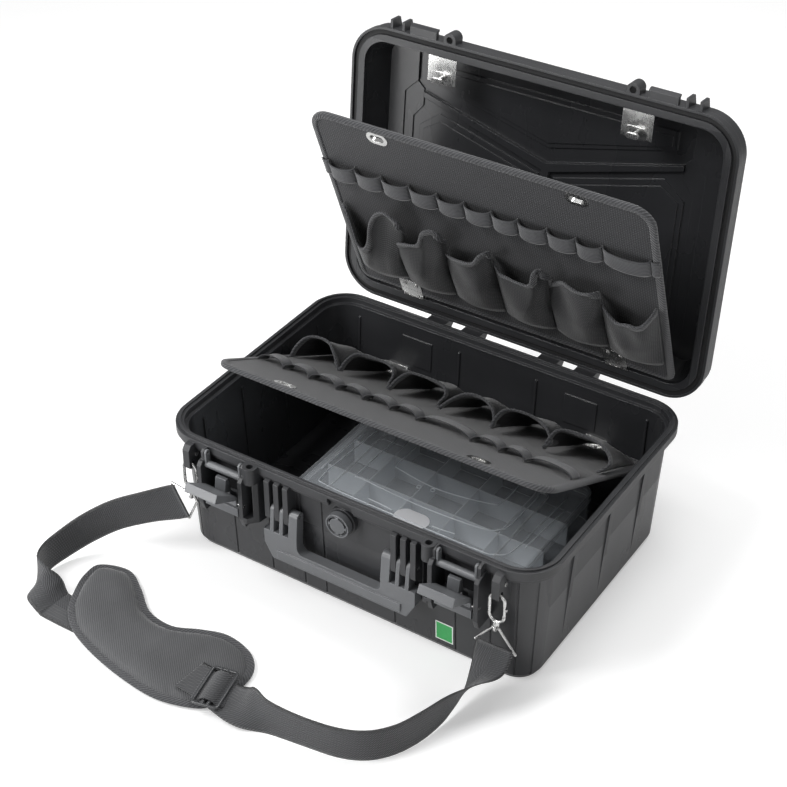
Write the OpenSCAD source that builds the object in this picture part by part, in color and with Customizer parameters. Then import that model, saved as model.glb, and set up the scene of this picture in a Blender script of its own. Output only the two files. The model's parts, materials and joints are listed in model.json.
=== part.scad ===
// Hard tool case with two hinged tool panels, an organizer box and a shoulder strap.
// Millimetres, +Z up, +Y to the back. The origin is the middle of the base's underside.
// The lid is drawn shut in its own modules and then swung open about its hinge.

/* [Case] */
// Width over the rim flange
case_w = 555; // [520:1:680]
// Depth over the rim flange
case_d = 394; // [370:1:480]
// Height of the base, floor to rim
base_h = 188; // [186:1:230]
// Height of the lid above the rim
lid_h = 55; // [50:1:70]
// Outer corner radius of the rim flange
rim_r = 53; // [50:1:60]
// Thickness of the walls and floor
wall = 4; // [3:0.5:6]
// How far the rim flange stands out from the body
flange_out = 12; // [10:0.5:14]
// How far each side wall leans in from rim to floor
draft = 8; // [4:0.5:10]
// Angle that the lid stands open at
lid_open = 95; // [90:1:105]

/* [Latches] */
// Distance of each latch from the middle
latch_x = 170; // [165:1:200]
// Half the width of a latch lever
lever_half = 24; // [22:0.5:26]
// Diameter of the claw's hook bar
bar_d = 10; // [8:0.5:10]
// Distance of each padlock eye from the middle
padlock_x = 130; // [128:0.5:132]
// Diameter of the padlock holes
padlock_d = 9; // [6:0.5:10]

/* [Handle] */
// Distance of each handle hinge from the middle
handle_x = 93; // [88:1:96]
// Length of the handle, pivot to lower edge
handle_drop = 75; // [66:1:85]
// Diameter of the handle's pivot pins
handle_pin_d = 5; // [4:0.5:6]

/* [Tool panels] */
// Width of each tool panel
panel_w = 484; // [440:1:490]
// Length of each tool panel, hinge to free edge
panel_l = 338; // [300:1:342]
// Thickness of a panel board
board_t = 5; // [4:0.5:6]
// Height of a pocket above its board
pocket_h = 33; // [20:1:35]
// Angle that the lid's panel leans out of the lid
lid_panel_open = 26.4; // [15:0.1:28]
// Angle that the base's panel is lifted by
base_panel_open = 28; // [15:1:30]

/* [Organizer] */
// Width of the organizer box
org_w = 340; // [300:1:380]
// Depth of the organizer box
org_d = 260; // [220:1:280]
// Height of the organizer tray without its lid
org_h = 42; // [36:1:46]

/* [Strap] */
// Width of the shoulder webbing
web_w = 50; // [40:1:50]
// Thickness of the webbing
web_t = 2; // [1.5:0.5:2.5]
// Thickness of the shoulder pad
pad_t = 10.5; // [8:0.5:16]
// Wire diameter of the snap hooks and rings
wire_d = 4; // [3:0.5:4.5]

/* [Hidden] */

$fn = 48;
e = 0.01;                       // overshoot of a cut past the face that it opens
fit = 0.03;                     // radial gap of a pin that is pressed in
run = 0.06;                     // radial gap of a pin that turns
seat = 0.3;                     // gap between pieces that lie loosely on each other

charcoal = "#3a3b3d";
charcoal_light = "#55575a";
satin_black = "#202224";
steel = "#c9ccd0";
cloth_black = "#2b2d30";
tape_black = "#3c3e41";
web_grey = "#4a4c4f";
clear_blue = "#c5d2e4";

// ---- Rim, body and hinge line ----
flange_band = 11;               // height of the flange's full-width band
flange_step = 6;                // height of the narrower band beneath it
flange_step_in = 3;             // how far that band is set in
flange_low = base_h - flange_band - flange_step;
rim_wall = 11;                  // width of the rim's top face
rim_pocket = 8;                 // depth of the wide mouth inside the rim
body_w = case_w - 2 * flange_out;
body_d = case_d - 2 * flange_out;
body_r = rim_r - flange_out;
foot_h = 8;                     // height of the rounded-under foot
foot_in = 5;                    // how far the foot is set in at the floor
tongue_in = 4;
tongue_w = 3;
tongue_h = 3;
front_y = -case_d / 2;          // front face of the flange
// Front face of the drafted wall at height z
function wall_in(z) = draft * (flange_low - z) / flange_low;
function front_wall(z) = -body_d / 2 + wall_in(z);
hinge_y = case_d / 2 + 7;
hinge_z = base_h - 14;
knuckle_r = 6;
hinge_pin_d = 5;
hinge_in = 20;                  // inner end of each hinge
hinge_steps = [0, 25, 55, 80, 110, 135];
hinge_gap = 0.4;

// ---- Lid ----
rim_gap = 0.4;
lid_z = base_h + rim_gap;
lid_band = 26;                  // height of the lid's upright skirt
lid_lean = 22;                  // how far the crown leans in
lid_mouth_in = 20;              // width of the lid's rim face
lid_mouth_lean = 14;
groove_in = tongue_in - 0.6;
groove_w = tongue_w + 4;         // wide enough for the tongue to swing out at the back
groove_h = 5.4;
gasket_t = 2;

// ---- Latches ----
padlock_y = front_y - 5.1;
bail_y = front_y - 5.4;
bail_z = base_h - 5.4;
bail_r = 17.6;
lever_y = front_y - 12.5;
lever_z = base_h - 61;
lever_pin_d = 3.6;
cheek_gap = 28.5;               // half the space between the cheeks of a latch
cheek_t = 6;
cheek_y = front_y - 17;
cheek_low = lever_z - 33;
arm_t = 2.8;
arm_x = lever_half + 0.6;
bail_pin_d = 4;
tab_half = 8;

// ---- Handle ----
handle_y = front_y + 4;
handle_z = base_h - 57;
rib_t = 7.5;
rib_pitch = 14;
prong_t = 5.3;
prong_r = 7;
arm_in = 12.5;                  // thickness of the handle's inner arm

// ---- Valve ----
valve_z = base_h - 35.5;
valve_boss_y = front_y + 5;
valve_boss_r = 19;
valve_bore_r = 9;
valve_cap_r = 16.5;
valve_cap_t = 9;

// ---- Strap lugs ----
lug_x = case_w / 2 - rim_r;
lug_t = 10;
lug_y = front_y - 13;
lug_hole_y = front_y - 7;
lug_hole_z = base_h - 32;
lug_hole_r = 4.5;
lug_low = lug_hole_z - 10;
hook_r = 10;                    // half the width of a snap hook, wire centre to centre
hook_len = 22;
// The hook curves down on both sides of the lug, so its middle stands clear of the hole's floor
hook_top = lug_hole_z - lug_hole_r + wire_d / 2 + 2.1;
hook_low = hook_top - 2 * hook_r - hook_len;
eye_r = 4.6;
eye_wire = 1.6;
ring_half = web_w / 2 + 2;
ring_len = 30;

// ---- Tool panels ----
pivot_in = 25;                  // pivot line, from the flange's rear face
panel_pivot_y = case_d / 2 - pivot_in;
lid_pivot_z = base_h - 1.5;
base_pivot_z = base_h - 88;
clip_x = 157;
clip_w = 34;
clip_l = 30;
clip_t = 1.2;
barrel_r = 3.2;
barrel_pin_d = 3;
barrel_w = 18;
anchor_w = 6;
board_gap = 6;                  // bare space between pivot line and board
bind_w = 9;
bind_t = 1.2;
corner_free = 30;
corner_hinge = 14;
eyelet_x = 140;
eyelet_in = 18;                 // eyelet centre, from the free edge
eyelet_w = 31;
eyelet_h = 20;
slot_w = 20;
slot_h = 10;
mouth_in = 165;                 // pocket mouths, from the free edge
pocket_n = 6;
pocket_wall = 2;
pocket_tail = 12;               // pocket height at its closed end
loop_band = 26;
loop_in = 88;
loop_h = 11;
loop_t = 1.4;
// Seams that the elastic is stitched down along, across the panel
loop_seams = [-231, -191, -150, -108, -67, -27, 13];
wide_seams = [50, 91, 131, 167, 231];

// ---- Turn locks ----
bracket_w = 42;
bracket_l = 36;
bracket_t = 1.2;
bracket_z = lid_pivot_z + board_t / 2 + bind_t + 1;
knob_w = 17;
knob_t = 7;
stem_d = 5;

// ---- Organizer ----
org_x = 8;
org_y = 5;
org_z = wall + 0.5;
org_r = 14;
org_wall = 2;
org_lid_t = 12;
org_lid_out = 2;
org_cols = 5;
org_rows = 4;
org_axis_y = org_y + org_d / 2 + 6;
org_axis_z = org_z + org_h + 3;
org_pin_d = 3;
org_latch_x = 110;
org_latch_w = 30;

web_steps = 4;

// ---- Strap routes: centre line and the direction across the webbing ----
right_route = [
    [[224.5, -207.9, 79], [1, 0, 0]], [[224.5, -207.9, 70], [1, 0, 0]],
    [[222, -220, 49], [0.9, 0, 0.35]], [[214, -250, 34], [0.5, 0, 0.85]],
    [[205, -285, 27], [0.12, 0, 1]],
    [[196, -320, 25.4], [0, 0, 1]], [[182, -354, 25.4], [0, 0, 1]],
    [[160, -379, 25.4], [0, 0, 1]], [[128, -394, 25.4], [0, 0, 1]],
    [[80, -402, 25.6], [0, 0, 1]], [[38, -405, 25.4], [0, 0.15, 1]],
    [[14, -404, 23.5], [0, 0.6, 0.8]], [[-8, -402, 17.5], [0, 0.94, 0.33]],
    [[-30, -399, 14.8], [0, 1, 0.04]], [[-58, -394, 14.5], [0, 1, 0]],
    [[-88, -391, 14.4], [0, 1, 0]]];
left_route = [
    [[-240.9, -207.9, 87.4], [-0.47, 0, 0.88]], [[-250.9, -208.4, 82.3], [-0.45, 0, 0.89]],
    [[-282, -227, 73], [-0.1, 0, 1]], [[-317, -250, 60], [0, 0, 1]],
    [[-343, -276, 45], [0, 0, 1]], [[-360, -304, 32], [0, 0, 1]],
    [[-367, -332, 26], [0, 0, 1]], [[-361, -356, 25.5], [0, 0.1, 1]],
    [[-348, -369, 23.5], [0, 0.45, 0.89]], [[-334, -375, 15.5], [0, 0.83, 0.56]],
    [[-321, -378, 4], [0, 0.99, 0.1]], [[-313, -378.6, 1.45], [0, 1, 0.01]],
    [[-280, -379, 1.2], [0, 1, 0]], [[-240, -378, 1.2], [0, 1, 0]]];
pad_outline = [[-312, -330], [-300, -300], [-268, -284], [-240, -300], [-205, -325], [-165, -331],
    [-130, -318], [-95, -310], [-55, -318], [-32, -340], [-28, -370], [-38, -408], [-56, -426],
    [-105, -439], [-165, -434], [-225, -420], [-268, -402], [-295, -378], [-308, -352]];
slider_at = [-46, -395.4, 17.1];
slider_turn = 12;
pad_z = web_t + 0.6;             // the pad lies on the webbing
slider_w = 37;
slider_l = 66;
slider_t = 3.2;

// ================= Shared shapes =================

// Rounded rectangle with true arcs
module rounded(w, d, r) {
    square([w - 2 * r, d], center = true);
    square([w, d - 2 * r], center = true);
    for (sx = [-1, 1], sy = [-1, 1])
        translate([sx * (w / 2 - r), sy * (d / 2 - r)]) circle(r);
}

module slab(w, d, r, z0, z1) {
    translate([0, 0, z0]) linear_extrude(z1 - z0) rounded(w, d, r);
}

// Rounded block that is w by d at z1 and smaller by lean on every side at z0
module drafted(w, d, r, lean, z0, z1) {
    rotate([90, 0, 0]) linear_extrude(d - 2 * r, center = true)
        polygon([[-w / 2 + lean, z0], [w / 2 - lean, z0], [w / 2, z1], [-w / 2, z1]]);
    rotate([90, 0, 90]) linear_extrude(w - 2 * r, center = true)
        polygon([[-d / 2 + lean, z0], [d / 2 - lean, z0], [d / 2, z1], [-d / 2, z1]]);
    for (sx = [-1, 1], sy = [-1, 1])
        translate([sx * (w / 2 - r), sy * (d / 2 - r), z0])
            cylinder(h = z1 - z0, r1 = r - lean, r2 = r);
}

// The same block with its wide end down
module drafted_up(w, d, r, lean, z0, z1) {
    translate([0, 0, z0 + z1]) mirror([0, 0, 1]) drafted(w, d, r, lean, z0, z1);
}

// Outline in the Y-Z plane, drawn out along X from x0 to x1
module along_x(x0, x1) {
    translate([x0, 0, 0]) rotate([90, 0, 90]) linear_extrude(x1 - x0) children();
}

// Round rod along X
module rod_x(x0, x1, y, z, r) {
    translate([x0, y, z]) rotate([0, 90, 0]) cylinder(h = x1 - x0, r = r);
}

// Round rod along Y
module rod_y(x, y0, y1, z, r) {
    translate([x, y0, z]) rotate([-90, 0, 0]) cylinder(h = y1 - y0, r = r);
}

// Flat oval of overall width w and height h
module oval(w, h, t) {
    linear_extrude(t) {
        square([w - h, h], center = true);
        for (s = [-1, 1]) translate([s * (w - h) / 2, 0]) circle(h / 2);
    }
}

// Everything that belongs to the lid is drawn shut and placed with this
module opened() {
    translate([0, hinge_y, hinge_z]) rotate([-lid_open, 0, 0])
        translate([0, -hinge_y, -hinge_z]) children();
}

// ================= Base =================

module latch_housing(side) {
    for (s = [-1, 1]) {
        x0 = side * latch_x + (s > 0 ? cheek_gap : -cheek_gap - cheek_t);
        along_x(x0, x0 + cheek_t) difference() {
            polygon([[front_wall(cheek_low) + wall / 2, cheek_low],
                [cheek_y + 5, cheek_low], [cheek_y, cheek_low + 14],
                [cheek_y, flange_low - 5], [cheek_y + 4, flange_low],
                [front_y, flange_low + 4], [front_wall(flange_low) + wall / 2, flange_low + 4]]);
            translate([lever_y, lever_z]) circle(lever_pin_d / 2 + fit);
        }
        ear = side * latch_x + (s > 0 ? cheek_gap : -cheek_gap - 4);
        along_x(ear, ear + 4) difference() {
            polygon([[front_y + 4, flange_low - 2], [bail_y - 4, flange_low - 2],
                [bail_y - 4, base_h - 4], [bail_y - 1, base_h - 1], [front_y + 4, base_h - 1]]);
            translate([bail_y, bail_z]) circle(bail_pin_d / 2 + fit);
        }
    }
}

module padlock_boss(side) {
    x = side * padlock_x;
    cheek = side * (latch_x - cheek_gap - cheek_t);
    outer = x - side * 9.3;
    boss_low = base_h - 24;
    difference() {
        union() {
            translate([x, padlock_y, boss_low]) cylinder(h = 24, r = 9);
            translate([x - 9, padlock_y, boss_low]) cube([18, 12, 24]);
            // Block under the eye, joined to the cheek of the latch
            intersection() {
                translate([0, 0, 90]) linear_extrude(boss_low - 90)
                    polygon([[cheek, -body_d / 2 + 20], [cheek, cheek_y], [x, cheek_y],
                        [outer, front_y - 3], [outer, -body_d / 2 + 20]]);
                along_x(x - 12, x + 12)
                    polygon([[front_wall(90) + wall / 2, 98], [cheek_y, 104], [cheek_y, boss_low + 1],
                        [front_wall(150) + wall / 2, boss_low + 1]]);
            }
        }
        translate([x, padlock_y, boss_low - e]) cylinder(h = 24 + 2 * e, r = padlock_d / 2);
        // Room for the shackle
        translate([min(cheek, x - side * 5), cheek_y - 1, 112])
            cube([abs(cheek - x) + 5, front_y + 11 - cheek_y, boss_low - 112 + e]);
    }
}

module handle_clevis(side) {
    for (i = [-1 : 1]) {
        x0 = side * handle_x + i * rib_pitch - rib_t / 2;
        along_x(x0, x0 + rib_t) difference() {
            polygon([[front_wall(100) + wall / 2, handle_z - 29], [front_wall(104), handle_z - 28],
                [front_y - 3.5, handle_z - 14], [front_y - 3.5, flange_low + 2],
                [front_y + 4, flange_low + 5], [front_wall(150) + wall / 2, flange_low + 5]]);
            translate([handle_y, handle_z]) circle(handle_pin_d / 2 + fit);
        }
    }
}

module strap_lug(side) {
    x0 = side * lug_x - lug_t / 2;
    along_x(x0, x0 + lug_t) difference() {
        polygon([[front_wall(140) + wall / 2, lug_low - 12], [lug_y + 9, lug_low],
            [lug_y, lug_low + 5], [lug_y, base_h - 10], [lug_y + 5, base_h - 4],
            [front_y + 4, base_h - 4],
            [front_wall(150) + wall / 2, flange_low + 4]]);
        translate([lug_hole_y, lug_hole_z]) circle(lug_hole_r);
    }
}

module hinge_half(first) {
    for (side = [-1, 1], i = [first : 2 : len(hinge_steps) - 2]) {
        a = hinge_in + hinge_steps[i] + (first ? hinge_gap : 0);
        b = hinge_in + hinge_steps[i + 1] - (first ? hinge_gap : 0);
        along_x(side > 0 ? a : -b, side > 0 ? b : -a) children();
    }
}

// Tapered ribs stand on the ends and the back of the body
module wall_ribs() {
    for (side = [-1, 1], i = [-1 : 1])
        translate([0, i * 92, 0]) rotate([90, 0, 0]) linear_extrude(9, center = true)
            polygon([[side * (body_w / 2 - draft + 1), foot_h + 14],
                [side * (body_w / 2 + 3), flange_low + 1],
                [side * (body_w / 2 - wall / 2), flange_low + 1]]);
    for (side = [-1, 1])
        translate([side * 215, 0, 0]) rotate([90, 0, 90]) linear_extrude(9, center = true)
            polygon([[body_d / 2 - draft + 1, foot_h + 14], [body_d / 2 + 3, flange_low + 1],
                [body_d / 2 - wall / 2, flange_low + 1]]);
}

module front_grooves() {
    low = foot_h + 1;
    for (x = [-176, -119, -68, -35, 68, 156, 205]) {
        high = abs(x) < 150 ? flange_low - 4 : 96;
        translate([x - 1.5, 0, 0]) rotate([90, 0, 90]) linear_extrude(3)
            polygon([[front_wall(low) - 3, low], [front_wall(low) + 1.3, low],
                [front_wall(high) + 1.3, high], [front_wall(high) - 3, high]]);
    }
}

// Upright flutes that follow the draft round each corner
module corner_flutes() {
    for (sx = [-1, 1], sy = [-1, 1], turn = [34, 69])
        translate([sx * (body_w / 2 - body_r), sy * (body_d / 2 - body_r), foot_h])
            rotate([0, 0, atan2(sy * sin(turn), sx * cos(turn))])
                translate([body_r - wall_in(foot_h), 0, 0])
                    rotate([0, atan(draft / flange_low), 0])
                        translate([0, 0, -1]) cylinder(h = flange_low - foot_h + 3, r = 1.4);
}

// Low ribs and two flat pads stand on the inside of the walls
module inner_ribs() {
    for (s = [-1, 1], x = [60, 224])
        inner_pad(s * x - 1.5, s * x + 1.5, 40, 164, 2);
    for (s = [-1, 1])
        inner_pad(s * 128 - 24, s * 128 + 24, 116, 160, 1.6);
    inside = body_w / 2 - wall;
    for (s = [-1, 1], y = [-128, -46, 46, 128])
        translate([0, y, 0]) rotate([90, 0, 0]) linear_extrude(3, center = true)
            polygon([[s * (inside - wall_in(40) - 2), 40], [s * (inside - wall_in(40) + 1), 40],
                [s * (inside - wall_in(164) + 1), 164], [s * (inside - wall_in(164) - 2), 164]]);
}

module inner_pad(x0, x1, low, high, proud) {
    along_x(x0, x1)
        polygon([[-front_wall(low) - wall - proud, low], [-front_wall(low) - wall + 1, low],
            [-front_wall(high) - wall + 1, high], [-front_wall(high) - wall - proud, high]]);
}

module base_shell() {
    color(charcoal) {
        hollow_shell();
        inner_ribs();
    }
}

module hollow_shell() {
    difference() {
        union() {
            drafted(body_w - 2 * wall_in(foot_h), body_d - 2 * wall_in(foot_h),
                body_r - wall_in(foot_h), foot_in, 0, foot_h);
            difference() {
                drafted(body_w, body_d, body_r, wall_in(foot_h), foot_h, flange_low);
                front_grooves();
                corner_flutes();
            }
            slab(case_w - 2 * flange_step_in, case_d - 2 * flange_step_in,
                rim_r - flange_step_in, flange_low, base_h - flange_band);
            slab(case_w, case_d, rim_r, base_h - flange_band, base_h);
            difference() {
                slab(case_w - 2 * tongue_in, case_d - 2 * tongue_in, rim_r - tongue_in,
                    base_h - 1, base_h + tongue_h);
                slab(case_w - 2 * (tongue_in + tongue_w), case_d - 2 * (tongue_in + tongue_w),
                    rim_r - tongue_in - tongue_w, base_h - 2, base_h + tongue_h + 1);
            }
            wall_ribs();
            rod_y(0, valve_boss_y, front_wall(valve_z) + wall, valve_z, valve_boss_r);
            for (side = [-1, 1]) {
                latch_housing(side);
                padlock_boss(side);
                handle_clevis(side);
                strap_lug(side);
            }
            hinge_half(0) {
                translate([hinge_y, hinge_z]) circle(knuckle_r);
                polygon([[body_d / 2 - draft / 2, hinge_z - 30], [hinge_y - 1, hinge_z - 8],
                    [hinge_y + 4, hinge_z - 4], [hinge_y, hinge_z],
                    [case_d / 2 - 6, hinge_z + 2]]);
            }
        }
        // The space inside, wider at the mouth than below it
        slab(case_w - 2 * rim_wall, case_d - 2 * rim_wall, rim_r - rim_wall,
            base_h - rim_pocket, base_h + tongue_h + 1);
        slab(body_w - 2 * wall, body_d - 2 * wall, body_r - wall, flange_low - e,
            base_h - rim_pocket + e);
        drafted(body_w - 2 * wall, body_d - 2 * wall, body_r - wall, wall_in(wall), wall, flange_low);
        // Clear way in front of the pressure valve
        translate([-18, front_y - e, flange_low - e]) cube([36, 7, flange_band + flange_step - 4]);
        rod_y(0, valve_boss_y - 1, 0, valve_z, valve_bore_r);
        hinge_half(0) translate([hinge_y, hinge_z]) circle(hinge_pin_d / 2 + fit);
    }
}

module base_label() {
    color("#2e8b3d") along_x(127, 152)
        polygon([[front_wall(16), 16], [front_wall(16) - 0.3, 16],
            [front_wall(46) - 0.3, 46], [front_wall(46), 46]]);
}

module hinge_pins() {
    color(steel) for (side = [-1, 1])
        rod_x(side > 0 ? hinge_in : -hinge_in - hinge_steps[5],
            side > 0 ? hinge_in + hinge_steps[5] : -hinge_in, hinge_y, hinge_z, hinge_pin_d / 2);
}

// ================= Pressure valve =================

module valve_body() {
    color(charcoal_light) {
        back = front_wall(valve_z - 13) + wall;
        rod_y(0, valve_boss_y, back, valve_z, valve_bore_r - fit);
        rod_y(0, back, back + 3, valve_z, 13);
        rod_y(0, valve_boss_y - 6, valve_boss_y, valve_z, 5);
    }
}

module valve_seal() {
    color("#151515") difference() {
        rod_y(0, valve_boss_y - 1.6, valve_boss_y, valve_z, 13);
        rod_y(0, valve_boss_y - 2, valve_boss_y + 1, valve_z, 9.5);
    }
}

module valve_cap() {
    front = valve_boss_y - 2 - valve_cap_t;
    color(charcoal_light) difference() {
        rod_y(0, front, valve_boss_y - 2, valve_z, valve_cap_r);
        rod_y(0, valve_boss_y - 6.2, valve_boss_y, valve_z, 5 + run);
        difference() {
            rod_y(0, front - 1, front + 1.5, valve_z, valve_cap_r - 1.8);
            rod_y(0, front - 2, front + 2, valve_z, valve_cap_r - 3.2);
        }
        for (i = [0 : 3]) intersection() {
            difference() {
                rod_y(0, front - 1, front + 5, valve_z, valve_cap_r - 3.4);
                rod_y(0, front - 2, front + 6, valve_z, valve_cap_r - 5.6);
            }
            translate([0, front, valve_z]) rotate([0, 45 + 90 * i, 0])
                translate([4, -2, -7]) cube([20, 8, 14]);
        }
    }
}

// ================= Handle =================

module handle() {
    low = handle_z - handle_drop;
    half = handle_x + rib_pitch + rib_t / 2 + 1;
    arm = handle_x - rib_pitch - rib_t / 2 - 0.6;
    front = front_y - 6;
    color(charcoal_light) difference() {
        union() {
            // Grip and the two plates that carry it
            translate([0, front, 0]) rotate([90, 0, 0]) mirror([0, 0, 1]) linear_extrude(14)
                difference() {
                    polygon([[-half, handle_z - 31], [-half, low + 22], [-half + 12, low],
                        [half - 12, low], [half, low + 22], [half, handle_z - 31]]);
                    translate([0, (handle_z + low + 22) / 2 + 10])
                        rounded(2 * (arm - arm_in), handle_z - low - 2, 10);
                }
            for (side = [-1, 1]) {
                for (i = [0, 1]) {
                    x = side * (handle_x + (i - 0.5) * rib_pitch);
                    along_x(x - prong_t / 2, x + prong_t / 2) prong();
                }
                a = side > 0 ? arm - arm_in : -arm;
                along_x(a, a + arm_in) prong();
            }
            // Raised front face of the grip
            translate([-half + 20, front - 2, low + 5]) cube([2 * half - 40, 2 + e, 12]);
        }
        for (side = [-1, 1])
            rod_x(side > 0 ? 0 : -half - 1, side > 0 ? half + 1 : 0, handle_y, handle_z,
                handle_pin_d / 2 + run);
        // Clear room for the ends of the clevis ribs
        for (side = [-1, 1], i = [-1 : 1])
            translate([side * handle_x + i * rib_pitch - rib_t / 2 - 0.6, front - 1, handle_z - 32])
                cube([rib_t + 1.2, 16, 40]);
    }
}

// Side view of one prong of the handle
module prong() {
    translate([handle_y, handle_z]) circle(prong_r);
    polygon([[handle_y - prong_r, handle_z], [handle_y + prong_r, handle_z],
        [front_y + 8, handle_z - 31 - e], [front_y - 6, handle_z - 31 - e]]);
}

module handle_pins() {
    reach = rib_pitch + rib_t / 2;
    inner = handle_x - reach - 0.6 - arm_in;
    color(steel) for (side = [-1, 1])
        rod_x(side > 0 ? inner + 2 : -handle_x - reach, side > 0 ? handle_x + reach : -inner - 2,
            handle_y, handle_z, handle_pin_d / 2);
}

// ================= Latches =================

// Flap that is pulled by hand, hinged low between the cheeks
module lever(side) {
    x = side * latch_x;
    color(charcoal_light) difference() {
        along_x(x - lever_half, x + lever_half) {
            translate([lever_y, lever_z]) circle(3.9);
            polygon([[lever_y + 3, lever_z + 2], [lever_y - 2.2, lever_z + 13],
                [lever_y - 38.5, lever_z + 39.5], [lever_y - 43.8, lever_z + 29],
                [lever_y - 3.6, lever_z + 7], [lever_y - 3.4, lever_z - 1.5]]);
        }
        rod_x(x - 40, x + 40, lever_y, lever_z, lever_pin_d / 2 + run);
        translate([x - tab_half - 1, lever_y - 6.5, lever_z - 10]) cube([2 * tab_half + 2, 16, 46]);
        // Finger hollow under the flap
        translate([x - lever_half + 4, lever_y - 37, lever_z + 27.4]) rotate([-28.7, 0, 0])
            translate([0, 0, -8.8]) cube([2 * lever_half - 8, 24, 4]);
    }
}

module latch_left_lever() { lever(-1); }
module latch_right_lever() { lever(1); }

// Bail that hangs below the rim and swings up over the lid's catch
module claw(side) {
    x = side * latch_x;
    color(charcoal_light) {
        rod_x(x - arm_x, x + arm_x, bail_y, bail_z - bail_r, bar_d / 2);
        for (s = [-1, 1]) {
            x0 = x + (s > 0 ? arm_x : -arm_x - arm_t);
            along_x(x0, x0 + arm_t) difference() {
                union() {
                    translate([bail_y, bail_z]) circle(4.2);
                    translate([bail_y, bail_z - bail_r]) circle(bar_d / 2 + 0.2);
                    translate([bail_y - 4, bail_z - bail_r]) square([8, bail_r]);
                }
                translate([bail_y, bail_z]) circle(bail_pin_d / 2 + run);
            }
        }
    }
}

module latch_left_claw() { claw(-1); }
module latch_right_claw() { claw(1); }

// Fixed plate between the cheeks, with the tongue that stands in front of the bar
module keeper(side) {
    x = side * latch_x;
    top = lever_z - 4.6;
    half = cheek_gap - 3;
    color(charcoal_light) {
        along_x(x - half, x + half)
            polygon([[front_wall(top), top - 1], [front_wall(top - 20), top - 20],
                [lever_y + 4, top - 20], [lever_y - 3.2, top - 14], [lever_y - 3.2, top - 2],
                [lever_y + 0.5, top], [lever_y + 4, top + 0.5]]);
        along_x(x - tab_half, x + tab_half)
            polygon([[front_y + 6, top - 2], [lever_y + 5, top - 2], [lever_y + 5, lever_z + 9],
                [lever_y - 4.5, lever_z + 13], [lever_y - 1.5, lever_z + 31],
                [lever_y + 3.5, lever_z + 31], [lever_y + 8, lever_z + 10],
                [front_y + 6, lever_z - 2]]);
    }
}

module latch_left_keeper() { keeper(-1); }
module latch_right_keeper() { keeper(1); }

module latch_pins(side) {
    x = side * latch_x;
    color(steel) {
        for (s = [-1, 1]) {
            a = x + s * (tab_half + 1.5);
            b = x + s * (cheek_gap + cheek_t);
            rod_x(min(a, b), max(a, b), lever_y, lever_z, lever_pin_d / 2);
            c = x + s * (arm_x + 0.4);
            d = x + s * (cheek_gap + 2.3);
            rod_x(min(c, d), max(c, d), bail_y, bail_z, bail_pin_d / 2);
        }
    }
}

module latch_left_pins() { latch_pins(-1); }
module latch_right_pins() { latch_pins(1); }

// ================= Lid =================

// Catch that the claw's bar drops behind
module catch_ledge(side) {
    top = bail_z + bail_r - bar_d / 2 - 0.4;
    x = side * latch_x;
    along_x(x - 20, x + 20)
        polygon([[front_y + 4, lid_z + 0.6], [front_y - 10, lid_z + 0.6],
            [front_y - 12.8, top - 2], [front_y - 12.8, top + 2], [front_y - 11, top + 2],
            [front_y - 9, top], [front_y + 4, top]]);
}

module lid_outside() {
    difference() {
        union() {
            slab(case_w, case_d, rim_r, lid_z, lid_z + 10);
            slab(case_w - 3, case_d - 3, rim_r - 1.5, lid_z + 10 - e, lid_z + lid_band);
            drafted_up(case_w - 3, case_d - 3, rim_r - 1.5, lid_lean, lid_z + lid_band - e,
                lid_z + lid_h);
        }
        // Shallow panels let into the top
        for (x = [-125, 125])
            translate([x, 0, lid_z + lid_h - 2]) linear_extrude(3)
                rounded(210, case_d - 2 * lid_lean - 70, 18);
    }
    for (side = [-1, 1]) {
        catch_ledge(side);
        translate([side * padlock_x, padlock_y, lid_z]) {
            cylinder(h = 18, r = 9);
            translate([-9, 0, 0]) cube([18, 12, 18]);
        }
        for (x = [201, 219])
            along_x(side * x - 2, side * x + 2)
                polygon([[front_y + 8, lid_z + 2], [front_y - 12, lid_z + 2],
                    [front_y - 12, lid_z + 20], [front_y + 8, lid_z + 28]]);
    }
    hinge_half(1) {
        translate([hinge_y, hinge_z]) circle(knuckle_r);
        polygon([[hinge_y - 6, hinge_z], [hinge_y + 6, hinge_z], [hinge_y + 6, lid_z + 8],
            [case_d / 2 - 4, lid_z + 22], [case_d / 2 - 8, lid_z + 1], [case_d / 2, lid_z + 1],
            [case_d / 2 + 1, lid_z - 1]]);
    }
}

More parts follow.
